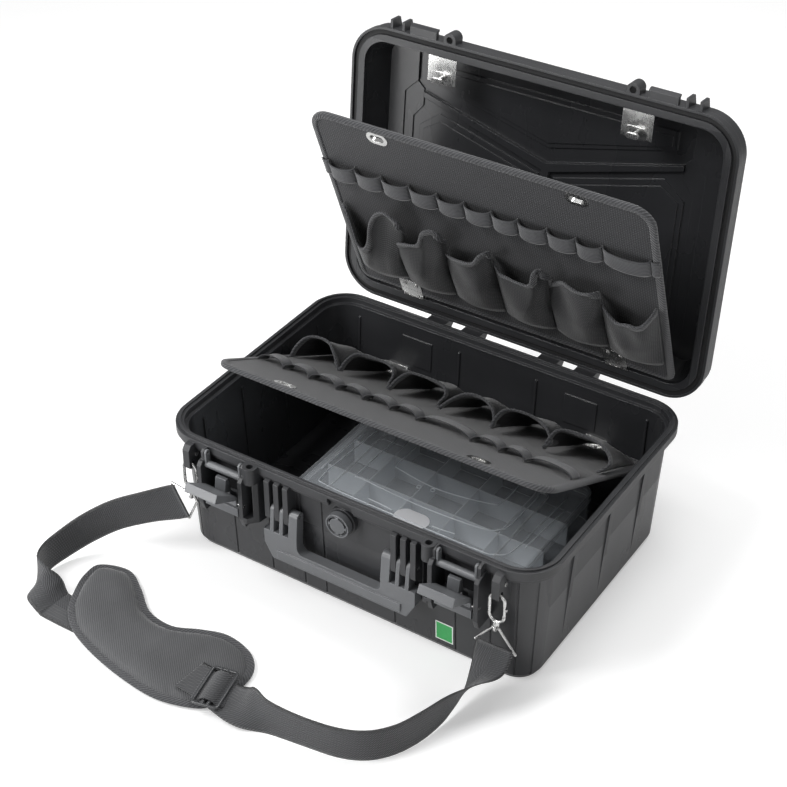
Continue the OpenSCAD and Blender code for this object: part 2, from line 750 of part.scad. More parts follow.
// Y-shaped ridge, raised pads and stepped sides moulded into the underside of the lid's top
module lid_relief(w, d, r) {
    z = lid_z + lid_h - wall;
    step_x = 201;
    intersection() {
        drafted_up(w + wall, d + wall, r + wall / 2, lid_mouth_lean, lid_z + 8,
            lid_z + lid_h - wall / 2);
        union() for (s = [-1, 1]) {
            translate([0, 0, z - 5.5]) linear_extrude(6)
                polygon([[0, -53], [s * 191, -103], [s * 191, -96], [s * 5, -42], [s * 5, d / 2],
                    [0, d / 2]]);
            for (level = [0, 1]) translate([0, 0, z - 2 - 1.6 * level]) linear_extrude(4) {
                inset = 7 * level;
                polygon([[s * (11 + inset), -34 + inset], [s * (166 - inset / 2), -77 + inset * 1.5],
                    [s * (196 - inset), -54 + inset / 2], [s * (196 - inset), 140 - inset],
                    [s * (11 + inset), 140 - inset]]);
                polygon([[0, -74 - inset], [s * (178 - inset), -119 - inset / 2],
                    [s * (178 - inset), -144 + inset], [0, -144 + inset]]);
            }
            translate([0, 0, z - 4]) linear_extrude(5)
                polygon([[s * step_x, -d / 2], [s * step_x, -117], [s * (step_x + 20), -97],
                    [s * (step_x + 20), d / 2], [s * w / 2, d / 2], [s * w / 2, -d / 2]]);
            translate([0, 0, z - 2]) linear_extrude(3)
                polygon([[s * (step_x - 9), -106], [s * (step_x - 9), -82], [s * (step_x + 6), -64],
                    [s * (step_x + 6), d / 2], [s * (step_x + 22), d / 2],
                    [s * (step_x + 22), -96], [s * (step_x + 2), -116]]);
        }
    }
}

module lid_shell() {
    w = case_w - 2 * lid_mouth_in;
    d = case_d - 2 * lid_mouth_in;
    r = rim_r - lid_mouth_in;
    color(charcoal) opened() difference() {
        union() {
            difference() {
                lid_outside();
                slab(w, d, r, lid_z - 1, lid_z + 8);
                drafted_up(w, d, r, lid_mouth_lean, lid_z + 8 - e, lid_z + lid_h - wall);
            }
            lid_relief(w, d, r);
        }
        difference() {
            slab(case_w - 2 * groove_in, case_d - 2 * groove_in, rim_r - groove_in,
                lid_z - 1, lid_z + groove_h);
            slab(case_w - 2 * (groove_in + groove_w), case_d - 2 * (groove_in + groove_w),
                rim_r - groove_in - groove_w, lid_z - 2, lid_z + groove_h + 1);
        }
        for (side = [-1, 1]) translate([side * padlock_x, padlock_y, lid_z - 1])
            cylinder(h = 20, r = padlock_d / 2);
        hinge_half(1) translate([hinge_y, hinge_z]) circle(hinge_pin_d / 2 + run);
    }
}

module lid_gasket() {
    top = lid_z + groove_h;
    color("#101010") opened() difference() {
        slab(case_w - 2 * groove_in - 0.2, case_d - 2 * groove_in - 0.2, rim_r - groove_in - 0.1,
            top - gasket_t, top);
        slab(case_w - 2 * (groove_in + groove_w) + 0.2, case_d - 2 * (groove_in + groove_w) + 0.2,
            rim_r - groove_in - groove_w + 0.1, top - gasket_t - 1, top + 1);
    }
}

// Plate on the lid's front inner wall that holds a turn lock
module bracket(side) {
    back = front_y + lid_mouth_in;
    color(steel) opened() translate([side * eyelet_x, 0, bracket_z]) difference() {
        union() {
            translate([-bracket_w / 2, back, 0]) cube([bracket_w, bracket_l, bracket_t]);
            translate([-bracket_w / 2, back, 0]) cube([bracket_w, bracket_t, 5]);
            translate([0, lock_y(), -0.8]) oval(34, 16, 0.8);
        }
        translate([0, lock_y(), -2]) cylinder(h = 5, d = stem_d + 2 * run);
    }
}

// Centre of the turn locks, which is where the eyelets come to rest
function lock_y() = panel_pivot_y - panel_l + eyelet_in;

module lid_bracket_left() { bracket(-1); }
module lid_bracket_right() { bracket(1); }

module bracket_rivets() {
    back = front_y + lid_mouth_in;
    color(steel) opened() for (side = [-1, 1], s = [-1, 1]) {
        translate([side * eyelet_x + s * 14, 0, 0])
            rod_y(0, back + bracket_t, back + bracket_t + 1.2, bracket_z + 3.4, 1.8);
    }
}

module turn_knob(side) {
    color(steel) opened() translate([side * eyelet_x, lock_y(), bracket_z]) {
        translate([0, 0, -10]) cylinder(h = 10 + bracket_t + 0.4, d = stem_d);
        translate([0, 0, -13.5]) oval(knob_w, knob_t, 4);
        translate([0, 0, bracket_t + 0.3]) cylinder(h = 1.2, d = 8);
    }
}

module turn_knob_left() { turn_knob(-1); }
module turn_knob_right() { turn_knob(1); }

// ================= Tool panels =================
// A panel is drawn flat: hinge line along X at the origin, free edge at -panel_l, pockets up.

// Panel outline, set in by inset
module panel_outline(inset) {
    w = panel_w - 2 * inset;
    l = panel_l - board_gap - 2 * inset;
    translate([0, -board_gap - inset]) {
        translate([-w / 2, -l + corner_free]) square([w, l - corner_free - corner_hinge]);
        translate([-w / 2 + corner_hinge, -corner_hinge - e])
            square([w - 2 * corner_hinge, corner_hinge + e]);
        translate([-w / 2 + corner_free, -l]) square([w - 2 * corner_free, corner_free + e]);
        for (s = [-1, 1]) {
            translate([s * (w / 2 - corner_hinge), -corner_hinge]) circle(corner_hinge);
            translate([s * (w / 2 - corner_free), -l + corner_free]) circle(corner_free);
        }
    }
}

module eyelet_holes() {
    for (s = [-1, 1]) translate([s * eyelet_x, -panel_l + eyelet_in, -board_t])
        oval(slot_w + 3, slot_h + 3, 2 * board_t);
}

module board() {
    difference() {
        translate([0, 0, -board_t / 2]) linear_extrude(board_t) panel_outline(1.5);
        eyelet_holes();
    }
}

module binding() {
    difference() {
        translate([0, 0, -board_t / 2 - bind_t]) linear_extrude(board_t + 2 * bind_t)
            panel_outline(0);
        translate([0, 0, -board_t]) linear_extrude(2 * board_t) panel_outline(bind_w);
        translate([0, 0, -board_t / 2]) linear_extrude(board_t) panel_outline(1.5);
        for (s = [-1, 1]) {
            translate([s * clip_x - clip_w / 2 - 1, -clip_l - 1, -board_t])
                cube([clip_w + 2, clip_l + 2, 20]);
            translate([s * eyelet_x - eyelet_w / 2 - 1, -panel_l + eyelet_in - eyelet_h / 2 - 1,
                -board_t]) cube([eyelet_w + 2, eyelet_h + 2, 20]);
        }
    }
}

// Metal frame of each slot that a turn lock goes through, on both faces of the board
module eyelets() {
    for (s = [-1, 1]) translate([s * eyelet_x, -panel_l + eyelet_in, 0]) difference() {
        union() {
            translate([0, 0, -board_t / 2 - 0.6]) oval(eyelet_w, eyelet_h, 0.6);
            translate([0, 0, board_t / 2]) oval(eyelet_w, eyelet_h, 0.6);
            translate([0, 0, -board_t / 2 - e]) oval(slot_w + 2.8, slot_h + 2.8, board_t + 2 * e);
        }
        translate([0, 0, -board_t]) oval(slot_w, slot_h, 2 * board_t);
    }
}

// Side view of the pocket bank: its cover rises from the closed end to the mouths
module pocket_side(inset) {
    z0 = board_t / 2;
    near = -board_gap - bind_w - clip_l + 7;
    far = -panel_l + mouth_in;
    polygon([[near - inset, z0 - (inset > 0 ? 1 : 0)], [far - inset, z0 - (inset > 0 ? 1 : 0)],
        [far - inset, z0 + pocket_h - inset], [near - inset, z0 + pocket_tail - inset]]);
}

// One strip of cloth stitched down into a row of pockets that open towards the free edge
module pockets() {
    room = panel_w - 2 * bind_w - 6;
    pitch = room / pocket_n;
    difference() {
        along_x(-room / 2, room / 2) pocket_side(0);
        for (i = [0 : pocket_n - 1])
            along_x(i * pitch - room / 2 + pocket_wall, (i + 1) * pitch - room / 2 - pocket_wall)
                pocket_side(pocket_wall);
    }
}

// One elastic loop between two seams: an arch of flat band
module elastic_loop(x0, x1) {
    half = (x1 - x0) / 2 - 1;
    rise = min(loop_h, half * 0.8);
    bow = (half * half + rise * rise) / (2 * rise);
    translate([(x0 + x1) / 2, -panel_l + loop_in + loop_band, board_t / 2]) rotate([90, 0, 0])
        linear_extrude(loop_band) intersection() {
            difference() {
                translate([0, rise - bow]) circle(bow);
                translate([0, rise - bow]) circle(bow - loop_t);
            }
            translate([-half, 0]) square([2 * half, rise + 1]);
        }
}

// The row of loops; the band lies flat between its two groups, up to seam number first
module loops(first) {
    for (i = [0 : len(loop_seams) - 2]) elastic_loop(loop_seams[i], loop_seams[i + 1]);
    for (i = [first : len(wide_seams) - 2]) elastic_loop(wide_seams[i], wide_seams[i + 1]);
    x0 = loop_seams[len(loop_seams) - 1];
    translate([x0, -panel_l + loop_in, board_t / 2])
        cube([wide_seams[first] - x0, loop_band, loop_t]);
}

module clips() {
    for (s = [-1, 1]) translate([s * clip_x, 0, 0]) difference() {
        union() {
            translate([-clip_w / 2, -clip_l - 2, board_t / 2])
                cube([clip_w, clip_l + 1 - barrel_r, clip_t]);
            along_x(-barrel_w / 2, barrel_w / 2) {
                circle(barrel_r);
                translate([-5, board_t / 2]) square([5, clip_t]);
            }
        }
        rod_x(-barrel_w, barrel_w, 0, 0, barrel_pin_d / 2 + run);
    }
}

module rivets() {
    for (s = [-1, 1], t = [-1, 1])
        translate([s * clip_x + t * 9, -clip_l + 6, board_t / 2 + clip_t]) cylinder(h = 1.2, r = 3);
}

// Fixed half of the panel hinge with its pin; reach is the distance to the wall behind it
module anchors(reach, rise) {
    for (s = [-1, 1]) translate([s * clip_x, 0, 0]) {
        for (t = [-1, 1]) {
            x0 = t > 0 ? barrel_w / 2 + 0.5 : -barrel_w / 2 - 0.5 - anchor_w;
            along_x(x0, x0 + anchor_w) {
                circle(barrel_r);
                translate([0, -1.5]) square([reach - 1, 3]);
            }
        }
        rod_x(-barrel_w / 2 - 1, barrel_w / 2 + 1, 0, 0, barrel_pin_d / 2);
        along_x(-barrel_w / 2 - anchor_w - 1, barrel_w / 2 + anchor_w + 1)
            polygon([[reach - 1.6, -1.5], [reach - seat, -1.5],
                [reach - seat, rise], [reach - 1.6, rise]]);
    }
}

// Place of the lid's panel: pockets face down when the lid is shut
module on_lid_pivot() {
    opened() translate([0, panel_pivot_y, lid_pivot_z]) children();
}

module lid_panel_place() {
    on_lid_pivot() rotate([lid_panel_open, 0, 0]) rotate([0, 180, 0]) children();
}

module on_base_pivot() {
    translate([0, panel_pivot_y, base_pivot_z]) children();
}

module base_panel_place() {
    on_base_pivot() rotate([-base_panel_open, 0, 0]) children();
}

lid_reach = case_d / 2 - lid_mouth_in - panel_pivot_y;
base_reach = body_d / 2 - wall - wall_in(base_pivot_z - 1.5) - panel_pivot_y;

module lid_panel_board() { color(cloth_black) lid_panel_place() board(); }
module lid_panel_binding() { color(tape_black) lid_panel_place() binding(); }
module lid_panel_pockets() { color(cloth_black) lid_panel_place() pockets(); }
module lid_panel_loops() { color(tape_black) lid_panel_place() loops(0); }
module lid_panel_eyelets() { color(steel) lid_panel_place() eyelets(); }
module lid_panel_clips() { color(steel) lid_panel_place() clips(); }
module lid_panel_rivets() { color(steel) lid_panel_place() rivets(); }
module lid_panel_anchors() { color(steel) on_lid_pivot() anchors(lid_reach, 9); }

module base_panel_board() { color(cloth_black) base_panel_place() board(); }
module base_panel_binding() { color(tape_black) base_panel_place() binding(); }
module base_panel_pockets() { color(cloth_black) base_panel_place() pockets(); }
module base_panel_loops() { color(tape_black) base_panel_place() loops(1); }
module base_panel_eyelets() { color(steel) base_panel_place() eyelets(); }
module base_panel_clips() { color(steel) base_panel_place() clips(); }
module base_panel_rivets() { color(steel) base_panel_place() rivets(); }
module base_panel_anchors() { color(steel) on_base_pivot() anchors(base_reach, 10); }

// ================= Organizer =================

module org_slab(grow, z0, z1) {
    translate([org_x, org_y, 0]) slab(org_w + 2 * grow, org_d + 2 * grow, org_r + grow, z0, z1);
}

// Low raised frame on the organizer's lid, inset from the lid's edge
module org_border(inset, z0, z1) {
    translate([org_x, org_y, 0]) difference() {
        slab(org_w - 2 * inset, org_d - 2 * inset, 8, z0, z1);
        slab(org_w - 2 * inset - 4, org_d - 2 * inset - 4, 6, z0 - 1, z1 + 1);
    }
}

module organizer_tray() {
    color(clear_blue, 0.4) difference() {
        union() {
            org_slab(0, org_z, org_z + org_h);
            for (s = [-1, 1]) rod_x(org_x + s * 110 - 12, org_x + s * 110 + 12,
                org_axis_y, org_axis_z, 3.6);
            for (s = [-1, 1]) translate([org_x + s * 110 - 12, org_y + org_d / 2 - 1, org_z + org_h - 8])
                cube([24, 8, 8]);
        }
        org_slab(-org_wall, org_z + org_wall, org_z + org_h + 1);
        for (s = [-1, 1]) rod_x(org_x + s * 110 - 13, org_x + s * 110 + 13,
            org_axis_y, org_axis_z, org_pin_d / 2 + fit);
    }
}

module organizer_dividers() {
    h = org_h - org_wall - 3;
    w = org_w - 2 * org_wall - 0.6;
    d = org_d - 2 * org_wall - 0.6;
    color(clear_blue, 0.4) translate([org_x, org_y, org_z + org_wall]) {
        for (i = [1 : org_cols - 1])
            translate([i * w / org_cols - w / 2 - 0.7, -d / 2, 0]) cube([1.4, d, h]);
        for (j = [1 : org_rows - 1])
            translate([-w / 2, j * d / org_rows - d / 2 - 0.7, 0]) cube([w, 1.4, h]);
    }
}

module organizer_lid() {
    z0 = org_z + org_h + 0.4;
    top = org_z + org_h + org_lid_t;
    color(clear_blue, 0.4) difference() {
        union() {
            org_slab(org_lid_out, z0, top);
            org_border(42, top - e, top + 1.2);
            for (s = [-1, 1], x = [-26, 16])
                rod_x(org_x + s * 110 + x - (x < 0 ? 0.5 : -0.5) - 3, org_x + s * 110 + x + 10 - 3,
                    org_axis_y, org_axis_z, 3.6);
            for (s = [-1, 1], x = [-29.5, 13.5])
                translate([org_x + s * 110 + x, org_y + org_d / 2, org_axis_z - 1]) cube([9.5, 6, 4]);
        }
        org_slab(-org_wall, z0 - 1, top - 1.8);
        for (s = [-1, 1]) rod_x(org_x + s * 110 - 40, org_x + s * 110 + 40,
            org_axis_y, org_axis_z, org_pin_d / 2 + run);
        for (s = [-1, 1]) translate([org_x + s * org_latch_x - org_latch_w / 2 - 0.5,
            org_y - org_d / 2 - org_lid_out - 1, z0 - 1]) cube([org_latch_w + 1, 3, org_lid_t + 2]);
    }
}

module organizer_pin() {
    color(steel) for (s = [-1, 1])
        rod_x(org_x + s * 110 - 28, org_x + s * 110 + 22, org_axis_y, org_axis_z, org_pin_d / 2);
}

// Snap latch on the front of the organizer, hinged along its lower edge
module organizer_latch(side) {
    x = org_x + side * org_latch_x;
    y = org_y - org_d / 2;
    color(clear_blue, 0.6) along_x(x - org_latch_w / 2, x + org_latch_w / 2) {
        translate([y - 2.8, org_z + 22]) circle(2.4);
        polygon([[y - 5, org_z + 22], [y - 2.2, org_z + 22], [y - 2.2, org_z + org_h + 5],
            [y - 0.6, org_z + org_h + 6], [y - 2, org_z + org_h + 10], [y - 6, org_z + org_h + 8]]);
    }
}

module organizer_latch_left() { organizer_latch(-1); }
module organizer_latch_right() { organizer_latch(1); }

module organizer_label() {
    color("white") translate([org_x, org_y - 52, org_z + org_h + org_lid_t + 0.02]) oval(50, 30, 0.3);
}

// ================= Shoulder strap =================

// Snap hook in an X-Z plane, hung in the lug's hole
module strap_hook(side) {
    x = side * lug_x;
    zc = hook_top - hook_r;
    low = zc - hook_len;
    color(steel) translate([x, lug_hole_y, 0]) {
        translate([0, 0, zc]) rotate([90, 0, 0]) rotate_extrude(angle = 180)
            translate([hook_r, 0]) circle(wire_d / 2);
        translate([-hook_r, 0, low]) cylinder(h = hook_len, r = wire_d / 2);
        translate([hook_r, 0, zc - 4]) cylinder(h = 4, r = wire_d / 2);
        translate([0, 0, low]) rotate([-90, 0, 0]) rotate_extrude(angle = 180)
            translate([hook_r, 0]) circle(wire_d / 2);
        // Swivel eye
        translate([0, 0, low - hook_r - 5]) cylinder(h = 5, r = 4);
        translate([0, 0, low - hook_r - 5 - eye_r]) rotate([0, 90, 0]) rotate_extrude()
            translate([eye_r, 0]) circle(eye_wire);
    }
}

module strap_hook_left() { strap_hook(-1); }
module strap_hook_right() { strap_hook(1); }

module strap_gate(side) {
    zc = hook_top - hook_r;
    color(steel) translate([side * lug_x + hook_r, lug_hole_y, zc - hook_len + wire_d / 2]) {
        rotate([90, 0, 0]) cylinder(h = wire_d - 1, r = wire_d / 2 - seat, center = true);
        cylinder(h = hook_len - wire_d / 2 - 4 - seat, r = wire_d / 2 - 0.4);
        translate([1, -1, 9]) cube([2.6, 2, 3]);
    }
}

module strap_gate_left() { strap_gate(-1); }
module strap_gate_right() { strap_gate(1); }

// Ring of round wire with a straight bar for the webbing. It is tilted by turn in its plane
// and hangs in the hook's eye at the place held, which is given as X and Z from its narrow end
module strap_ring(side, turn, held) {
    r = wire_d / 2 - 0.4;
    z = hook_low - 5 - 2 * eye_r + eye_wire + r + seat;
    color(steel) translate([side * lug_x, lug_hole_y, z]) rotate([0, turn, 0])
        translate([-held[0], 0, -ring_len - held[1]]) {
            translate([0, 0, 0]) rod_x(-ring_half, ring_half, 0, 0, r);
            for (s = [-1, 1]) {
                translate([s * ring_half, 0, 0]) sphere(r + 0.15);
                translate([s * ring_half, 0, 0]) rotate([0, -s * ring_lean(), 0])
                    cylinder(h = ring_leg(), r = r);
                translate([s * 4, 0, ring_len]) sphere(r + 0.15);
            }
            rod_x(-4, 4, 0, ring_len, r);
        }
}

function ring_lean() = atan((ring_half - 4) / ring_len);
function ring_leg() = sqrt(pow(ring_half - 4, 2) + ring_len * ring_len);

module strap_ring_left() { strap_ring(-1, 62, [-6, -2.62]); }
module strap_ring_right() { strap_ring(1, 0, [0, 0]); }

function unit(v) = v / norm(v);
// Four corners of the webbing's section at station i of a route
function section(route, i) =
    let (last = len(route) - 1,
        along = unit(route[min(i + 1, last)][0] - route[max(i - 1, 0)][0]),
        raw = unit(route[i][1]),
        face = unit(cross(along, raw)),
        side = cross(face, along),
        p = route[i][0], a = side * web_w / 2, b = face * web_t / 2)
    [p - a - b, p + a - b, p + a + b, p - a + b];

// Catmull-Rom value between b and c
function between(a, b, c, d, t) =
    0.5 * (2 * b + (c - a) * t + (2 * a - 5 * b + 4 * c - d) * t * t
        + (3 * b - a - 3 * c + d) * t * t * t);

// The route with web_steps stations for each one given
function smooth(route) =
    let (last = len(route) - 1)
    [for (i = [0 : last - 1], k = [0 : web_steps - 1])
        [for (j = [0, 1]) between(route[max(i - 1, 0)][j], route[i][j], route[i + 1][j],
            route[min(i + 2, last)][j], k / web_steps)],
        route[last]];

module webbing(stations) {
    route = smooth(stations);
    n = len(route);
    points = [for (i = [0 : n - 1]) each section(route, i)];
    ends = [[0, 1, 2], [0, 2, 3]];
    // Both broad faces are split along the same diagonal, so a twist keeps its thickness
    sides = [for (i = [0 : n - 2], t = [[0, 4, 1], [1, 4, 5], [1, 5, 2], [2, 5, 6],
        [2, 6, 7], [2, 7, 3], [3, 7, 0], [0, 7, 4]]) [for (k = t) 4 * i + k]];
    polyhedron(points = points, faces = concat(ends, sides,
        [for (t = ends) [for (k = [2 : -1 : 0]) t[k] + 4 * n - 4]]));
}

module strap_webbing_left() { color(web_grey) webbing(left_route); }
module strap_webbing_right() { color(web_grey) webbing(right_route); }

module strap_pad() {
    color(cloth_black) translate([0, 0, pad_z]) linear_extrude(pad_t) polygon(pad_outline);
}

module strap_slider() {
    color(charcoal_light) translate(slider_at) rotate([0, 0, slider_turn])
        linear_extrude(slider_t) difference() {
            rounded(slider_w, slider_l, 5);
            for (s = [-1, 1]) translate([s * 8, 0]) square([8, web_w + 2], center = true);
        }
}

module lug_screws() {
    color(steel) for (side = [-1, 1])
        rod_x(side * lug_x + lug_t / 2, side * lug_x + lug_t / 2 + 1.6, lug_y + 14, flange_low - 4, 3);
}

base_shell();
base_label();
hinge_pins();
valve_body();
valve_seal();
valve_cap();
handle();
handle_pins();
latch_left_lever();
latch_right_lever();
latch_left_claw();
latch_right_claw();
latch_left_keeper();
latch_right_keeper();
latch_left_pins();
latch_right_pins();
lid_shell();
lid_gasket();
lid_bracket_left();
lid_bracket_right();
bracket_rivets();
turn_knob_left();
turn_knob_right();
lid_panel_board();
lid_panel_binding();
lid_panel_pockets();
lid_panel_loops();
lid_panel_eyelets();
lid_panel_clips();
lid_panel_rivets();
lid_panel_anchors();
base_panel_board();
base_panel_binding();
base_panel_pockets();
base_panel_loops();
base_panel_eyelets();
base_panel_clips();
base_panel_rivets();
base_panel_anchors();
organizer_tray();
organizer_dividers();
organizer_lid();
organizer_pin();
organizer_latch_left();
organizer_latch_right();
organizer_label();
strap_hook_left();
strap_hook_right();
strap_gate_left();
strap_gate_right();
strap_ring_left();
strap_ring_right();
strap_webbing_left();
strap_webbing_right();
strap_pad();
strap_slider();
lug_screws();
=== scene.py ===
"""Looks of an open hard tool case with tool panels, an organizer box and a shoulder strap.

Every size is in metres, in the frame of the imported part: +X along the front to the right, +Y to
the back and +Z up. Cloth pieces are built here and stand for their plain solids; every moulded
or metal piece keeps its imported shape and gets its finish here.
"""

from __future__ import annotations

import json
import logging
import math
from collections.abc import Callable, Mapping, Sequence
from dataclasses import dataclass, field
from enum import Enum
from typing import Any

import bmesh
import bpy
from mathutils import Matrix, Vector
from mathutils.kdtree import KDTree

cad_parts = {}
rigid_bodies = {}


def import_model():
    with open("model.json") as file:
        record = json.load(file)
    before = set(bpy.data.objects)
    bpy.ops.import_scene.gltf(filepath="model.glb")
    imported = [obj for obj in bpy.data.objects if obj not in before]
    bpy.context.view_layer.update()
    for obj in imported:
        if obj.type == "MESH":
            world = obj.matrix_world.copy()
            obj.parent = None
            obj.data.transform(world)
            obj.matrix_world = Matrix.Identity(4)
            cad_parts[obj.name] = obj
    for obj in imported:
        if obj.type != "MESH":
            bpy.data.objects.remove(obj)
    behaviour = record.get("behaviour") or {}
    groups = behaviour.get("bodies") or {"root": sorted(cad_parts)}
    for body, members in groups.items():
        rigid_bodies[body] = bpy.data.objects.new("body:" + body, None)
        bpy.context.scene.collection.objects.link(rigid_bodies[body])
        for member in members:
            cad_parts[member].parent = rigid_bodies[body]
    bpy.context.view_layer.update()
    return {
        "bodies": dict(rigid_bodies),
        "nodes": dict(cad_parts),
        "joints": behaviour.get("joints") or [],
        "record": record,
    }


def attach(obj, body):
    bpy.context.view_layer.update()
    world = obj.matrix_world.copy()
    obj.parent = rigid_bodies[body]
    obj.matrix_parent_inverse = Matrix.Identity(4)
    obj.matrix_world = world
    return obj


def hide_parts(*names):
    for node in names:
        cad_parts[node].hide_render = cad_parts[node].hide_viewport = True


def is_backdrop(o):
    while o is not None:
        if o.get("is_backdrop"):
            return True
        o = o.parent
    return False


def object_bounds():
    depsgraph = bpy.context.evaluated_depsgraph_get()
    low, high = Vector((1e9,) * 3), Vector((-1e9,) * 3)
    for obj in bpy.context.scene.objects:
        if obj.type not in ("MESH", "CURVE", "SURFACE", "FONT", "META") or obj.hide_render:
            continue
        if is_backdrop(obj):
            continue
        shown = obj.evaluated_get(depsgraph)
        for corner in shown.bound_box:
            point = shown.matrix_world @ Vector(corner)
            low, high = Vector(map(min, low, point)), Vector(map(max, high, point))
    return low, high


LOG = logging.getLogger("tool_case")
MM = 0.001
TINY = 1e-9
UP = Vector((0.0, 0.0, 1.0)).freeze()
WHITE = (1.0, 1.0, 1.0)
MOUTH_STEPS = 44
POCKET_ROWS = 18
POCKET_SEAM_STEPS = 20
LOOP_STEPS = 16
LOOP_ROWS = 7
LOOP_SEAM_STEPS = 8

Colour = tuple[float, float, float]
Point = tuple[float, float, float]


# ---------------------------------------------------------------------------
# Shader building
# ---------------------------------------------------------------------------


@dataclass(frozen=True)
class Signal:
    """One shader socket, so that sums on it are written as Python expressions."""

    graph: Graph
    socket: bpy.types.NodeSocket

    def _maths(self, operation: str, *others: Signal | float) -> Signal:
        """Return this value combined with the others by one Math node."""
        return self.graph.maths(operation, self, *others)

    def __add__(self, other: Signal | float) -> Signal:
        """Return the sum."""
        return self._maths("ADD", other)

    __radd__ = __add__

    def __mul__(self, other: Signal | float) -> Signal:
        """Return the product."""
        return self._maths("MULTIPLY", other)

    __rmul__ = __mul__

    def __sub__(self, other: Signal | float) -> Signal:
        """Return the difference."""
        return self._maths("SUBTRACT", other)

    def __rsub__(self, other: float) -> Signal:
        """Return a plain number minus this value."""
        return self.graph.maths("SUBTRACT", other, self)

    def __lt__(self, limit: Signal | float) -> Signal:
        """Return 1 where this value is under the limit."""
        return self._maths("LESS_THAN", limit)

    def __gt__(self, limit: Signal | float) -> Signal:
        """Return 1 where this value is over the limit."""
        return self._maths("GREATER_THAN", limit)

    def __abs__(self) -> Signal:
        """Return the value without its sign."""
        return self._maths("ABSOLUTE")

    def wave(self, length: float) -> Signal:
        """Return a 0 to 1 wave of this wavelength along the value."""
        return self._maths("MULTIPLY", math.tau / length)._maths("SINE") * 0.5 + 0.5

    def clamped(self) -> Signal:
        """Return the value held between 0 and 1."""
        return self._maths("MAXIMUM", 0.0)._maths("MINIMUM", 1.0)


class Graph:
    """The node tree of one material or world."""

    def __init__(self, owner: bpy.types.Material | bpy.types.World) -> None:
        """Start with an empty tree.

        Args:
            owner: The new material or world that the tree belongs to.
        """
        self.owner = owner
        owner.use_nodes = True
        self.tree = owner.node_tree
        self.tree.nodes.clear()

    def node(
        self,
        kind: str,
        settings: Mapping[str, Any] | None = None,
        inputs: Mapping[str | int, Any] | None = None,
    ) -> bpy.types.Node:
        """Add a node.

        Args:
            kind: Node type, without its ShaderNode prefix.
            settings: Properties of the node, which are set first.
            inputs: Values or links of the sockets, by name or number.

        Returns:
            The new node.
        """
        made = self.tree.nodes.new("ShaderNode" + kind)
        for key, value in (settings or {}).items():
            setattr(made, key, value)
        for key, value in (inputs or {}).items():
            socket = made.inputs[key]
            if isinstance(value, Signal):
                self.tree.links.new(value.socket, socket)
            elif isinstance(value, bpy.types.NodeSocket):
                self.tree.links.new(value, socket)
            elif socket.type == "RGBA" and len(value) == 3:
                socket.default_value = (*value, 1.0)
            else:
                socket.default_value = value
        return made

    def maths(self, operation: str, *values: Signal | float) -> Signal:
        """Return the result of one Math node."""
        made = self.node("Math", {"operation": operation}, dict(enumerate(values)))
        return Signal(self, made.outputs[0])

    def mixed(self, share: Signal | float, low: Any, high: Any) -> bpy.types.NodeSocket:
        """Return the colour that is low at share 0 and high at share 1."""
        made = self.node("Mix", {"data_type": "RGBA"}, {0: share, 6: low, 7: high})
        return made.outputs[2]

    def place(self) -> bpy.types.NodeSocket:
        """Return the rest position in the row frame, which moves with the piece."""
        return self.node("TexCoord").outputs["Object"]

    def cloth_place(self) -> bpy.types.NodeSocket:
        """Return the position on the unrolled cloth, in metres."""
        return self.node("TexCoord").outputs["UV"]

    def turned(self, place: bpy.types.NodeSocket, degrees: float, centre: Point) -> Any:
        """Turn a position about an axis along X.

        Args:
            place: The position.
            degrees: How far it is turned.
            centre: A point of the axis.

        Returns:
            The turned position.
        """
        settings = {"rotation_type": "X_AXIS"}
        inputs = {"Vector": place, "Center": centre, "Angle": math.radians(degrees)}
        return self.node("VectorRotate", settings, inputs).outputs[0]

    def split(self, place: bpy.types.NodeSocket) -> tuple[Signal, Signal, Signal]:
        """Return the three parts of a position."""
        parts = self.node("SeparateXYZ", None, {0: place}).outputs
        return Signal(self, parts[0]), Signal(self, parts[1]), Signal(self, parts[2])

    def noise(self, place: Any, scale: float, detail: float = 2.0, rough: float = 0.5) -> Signal:
        """Return a smooth 0 to 1 noise with about scale features to the metre."""
        inputs = {"Vector": place, "Scale": scale, "Detail": detail, "Roughness": rough}
        return Signal(self, self.node("TexNoise", None, inputs).outputs["Fac"])

    def stretched(self, place: Any, scale: Point) -> bpy.types.NodeSocket:
        """Return a position scaled by a different amount along each axis."""
        return self.node("Mapping", None, {"Vector": place, "Scale": scale}).outputs[0]

    def rounded_normal(self, radius: float) -> bpy.types.NodeSocket:
        """Return a normal that rounds the edges over."""
        return self.node("Bevel", {"samples": 4}, {"Radius": radius}).outputs[0]

    def edges(self, normal: bpy.types.NodeSocket) -> Signal:
        """Find the edges of the piece.

        Args:
            normal: The rounded normal.

        Returns:
            From 0 on faces to 1 on edges, where it leaves the true normal.
        """
        flat = self.node("NewGeometry").outputs["Normal"]
        dot = self.node("VectorMath", {"operation": "DOT_PRODUCT"}, {0: normal, 1: flat})
        return ((1.0 - Signal(self, dot.outputs["Value"])) * 5.0).clamped()

    def bump(self, height: Signal, depth: float, normal: Any = None) -> bpy.types.NodeSocket:
        """Add a relief.

        Args:
            height: Height of the relief.
            depth: What a height of 1 stands for, in metres.
            normal: Normal that the relief lies on, or none for the true one.

        Returns:
            The normal of the relief.
        """
        inputs: dict[str, Any] = {"Height": height, "Distance": depth, "Strength": 1.0}
        if normal is not None:
            inputs["Normal"] = normal
        return self.node("Bump", None, inputs).outputs[0]

    def finish(self, inputs: Mapping[str, Any]) -> bpy.types.Material:
        """Add the surface and the output.

        Args:
            inputs: Values or links of the surface, by name.

        Returns:
            The finished material.
        """
        surface = self.node("BsdfPrincipled", None, inputs)
        self.node("OutputMaterial", None, {"Surface": surface.outputs[0]})
        return self.owner


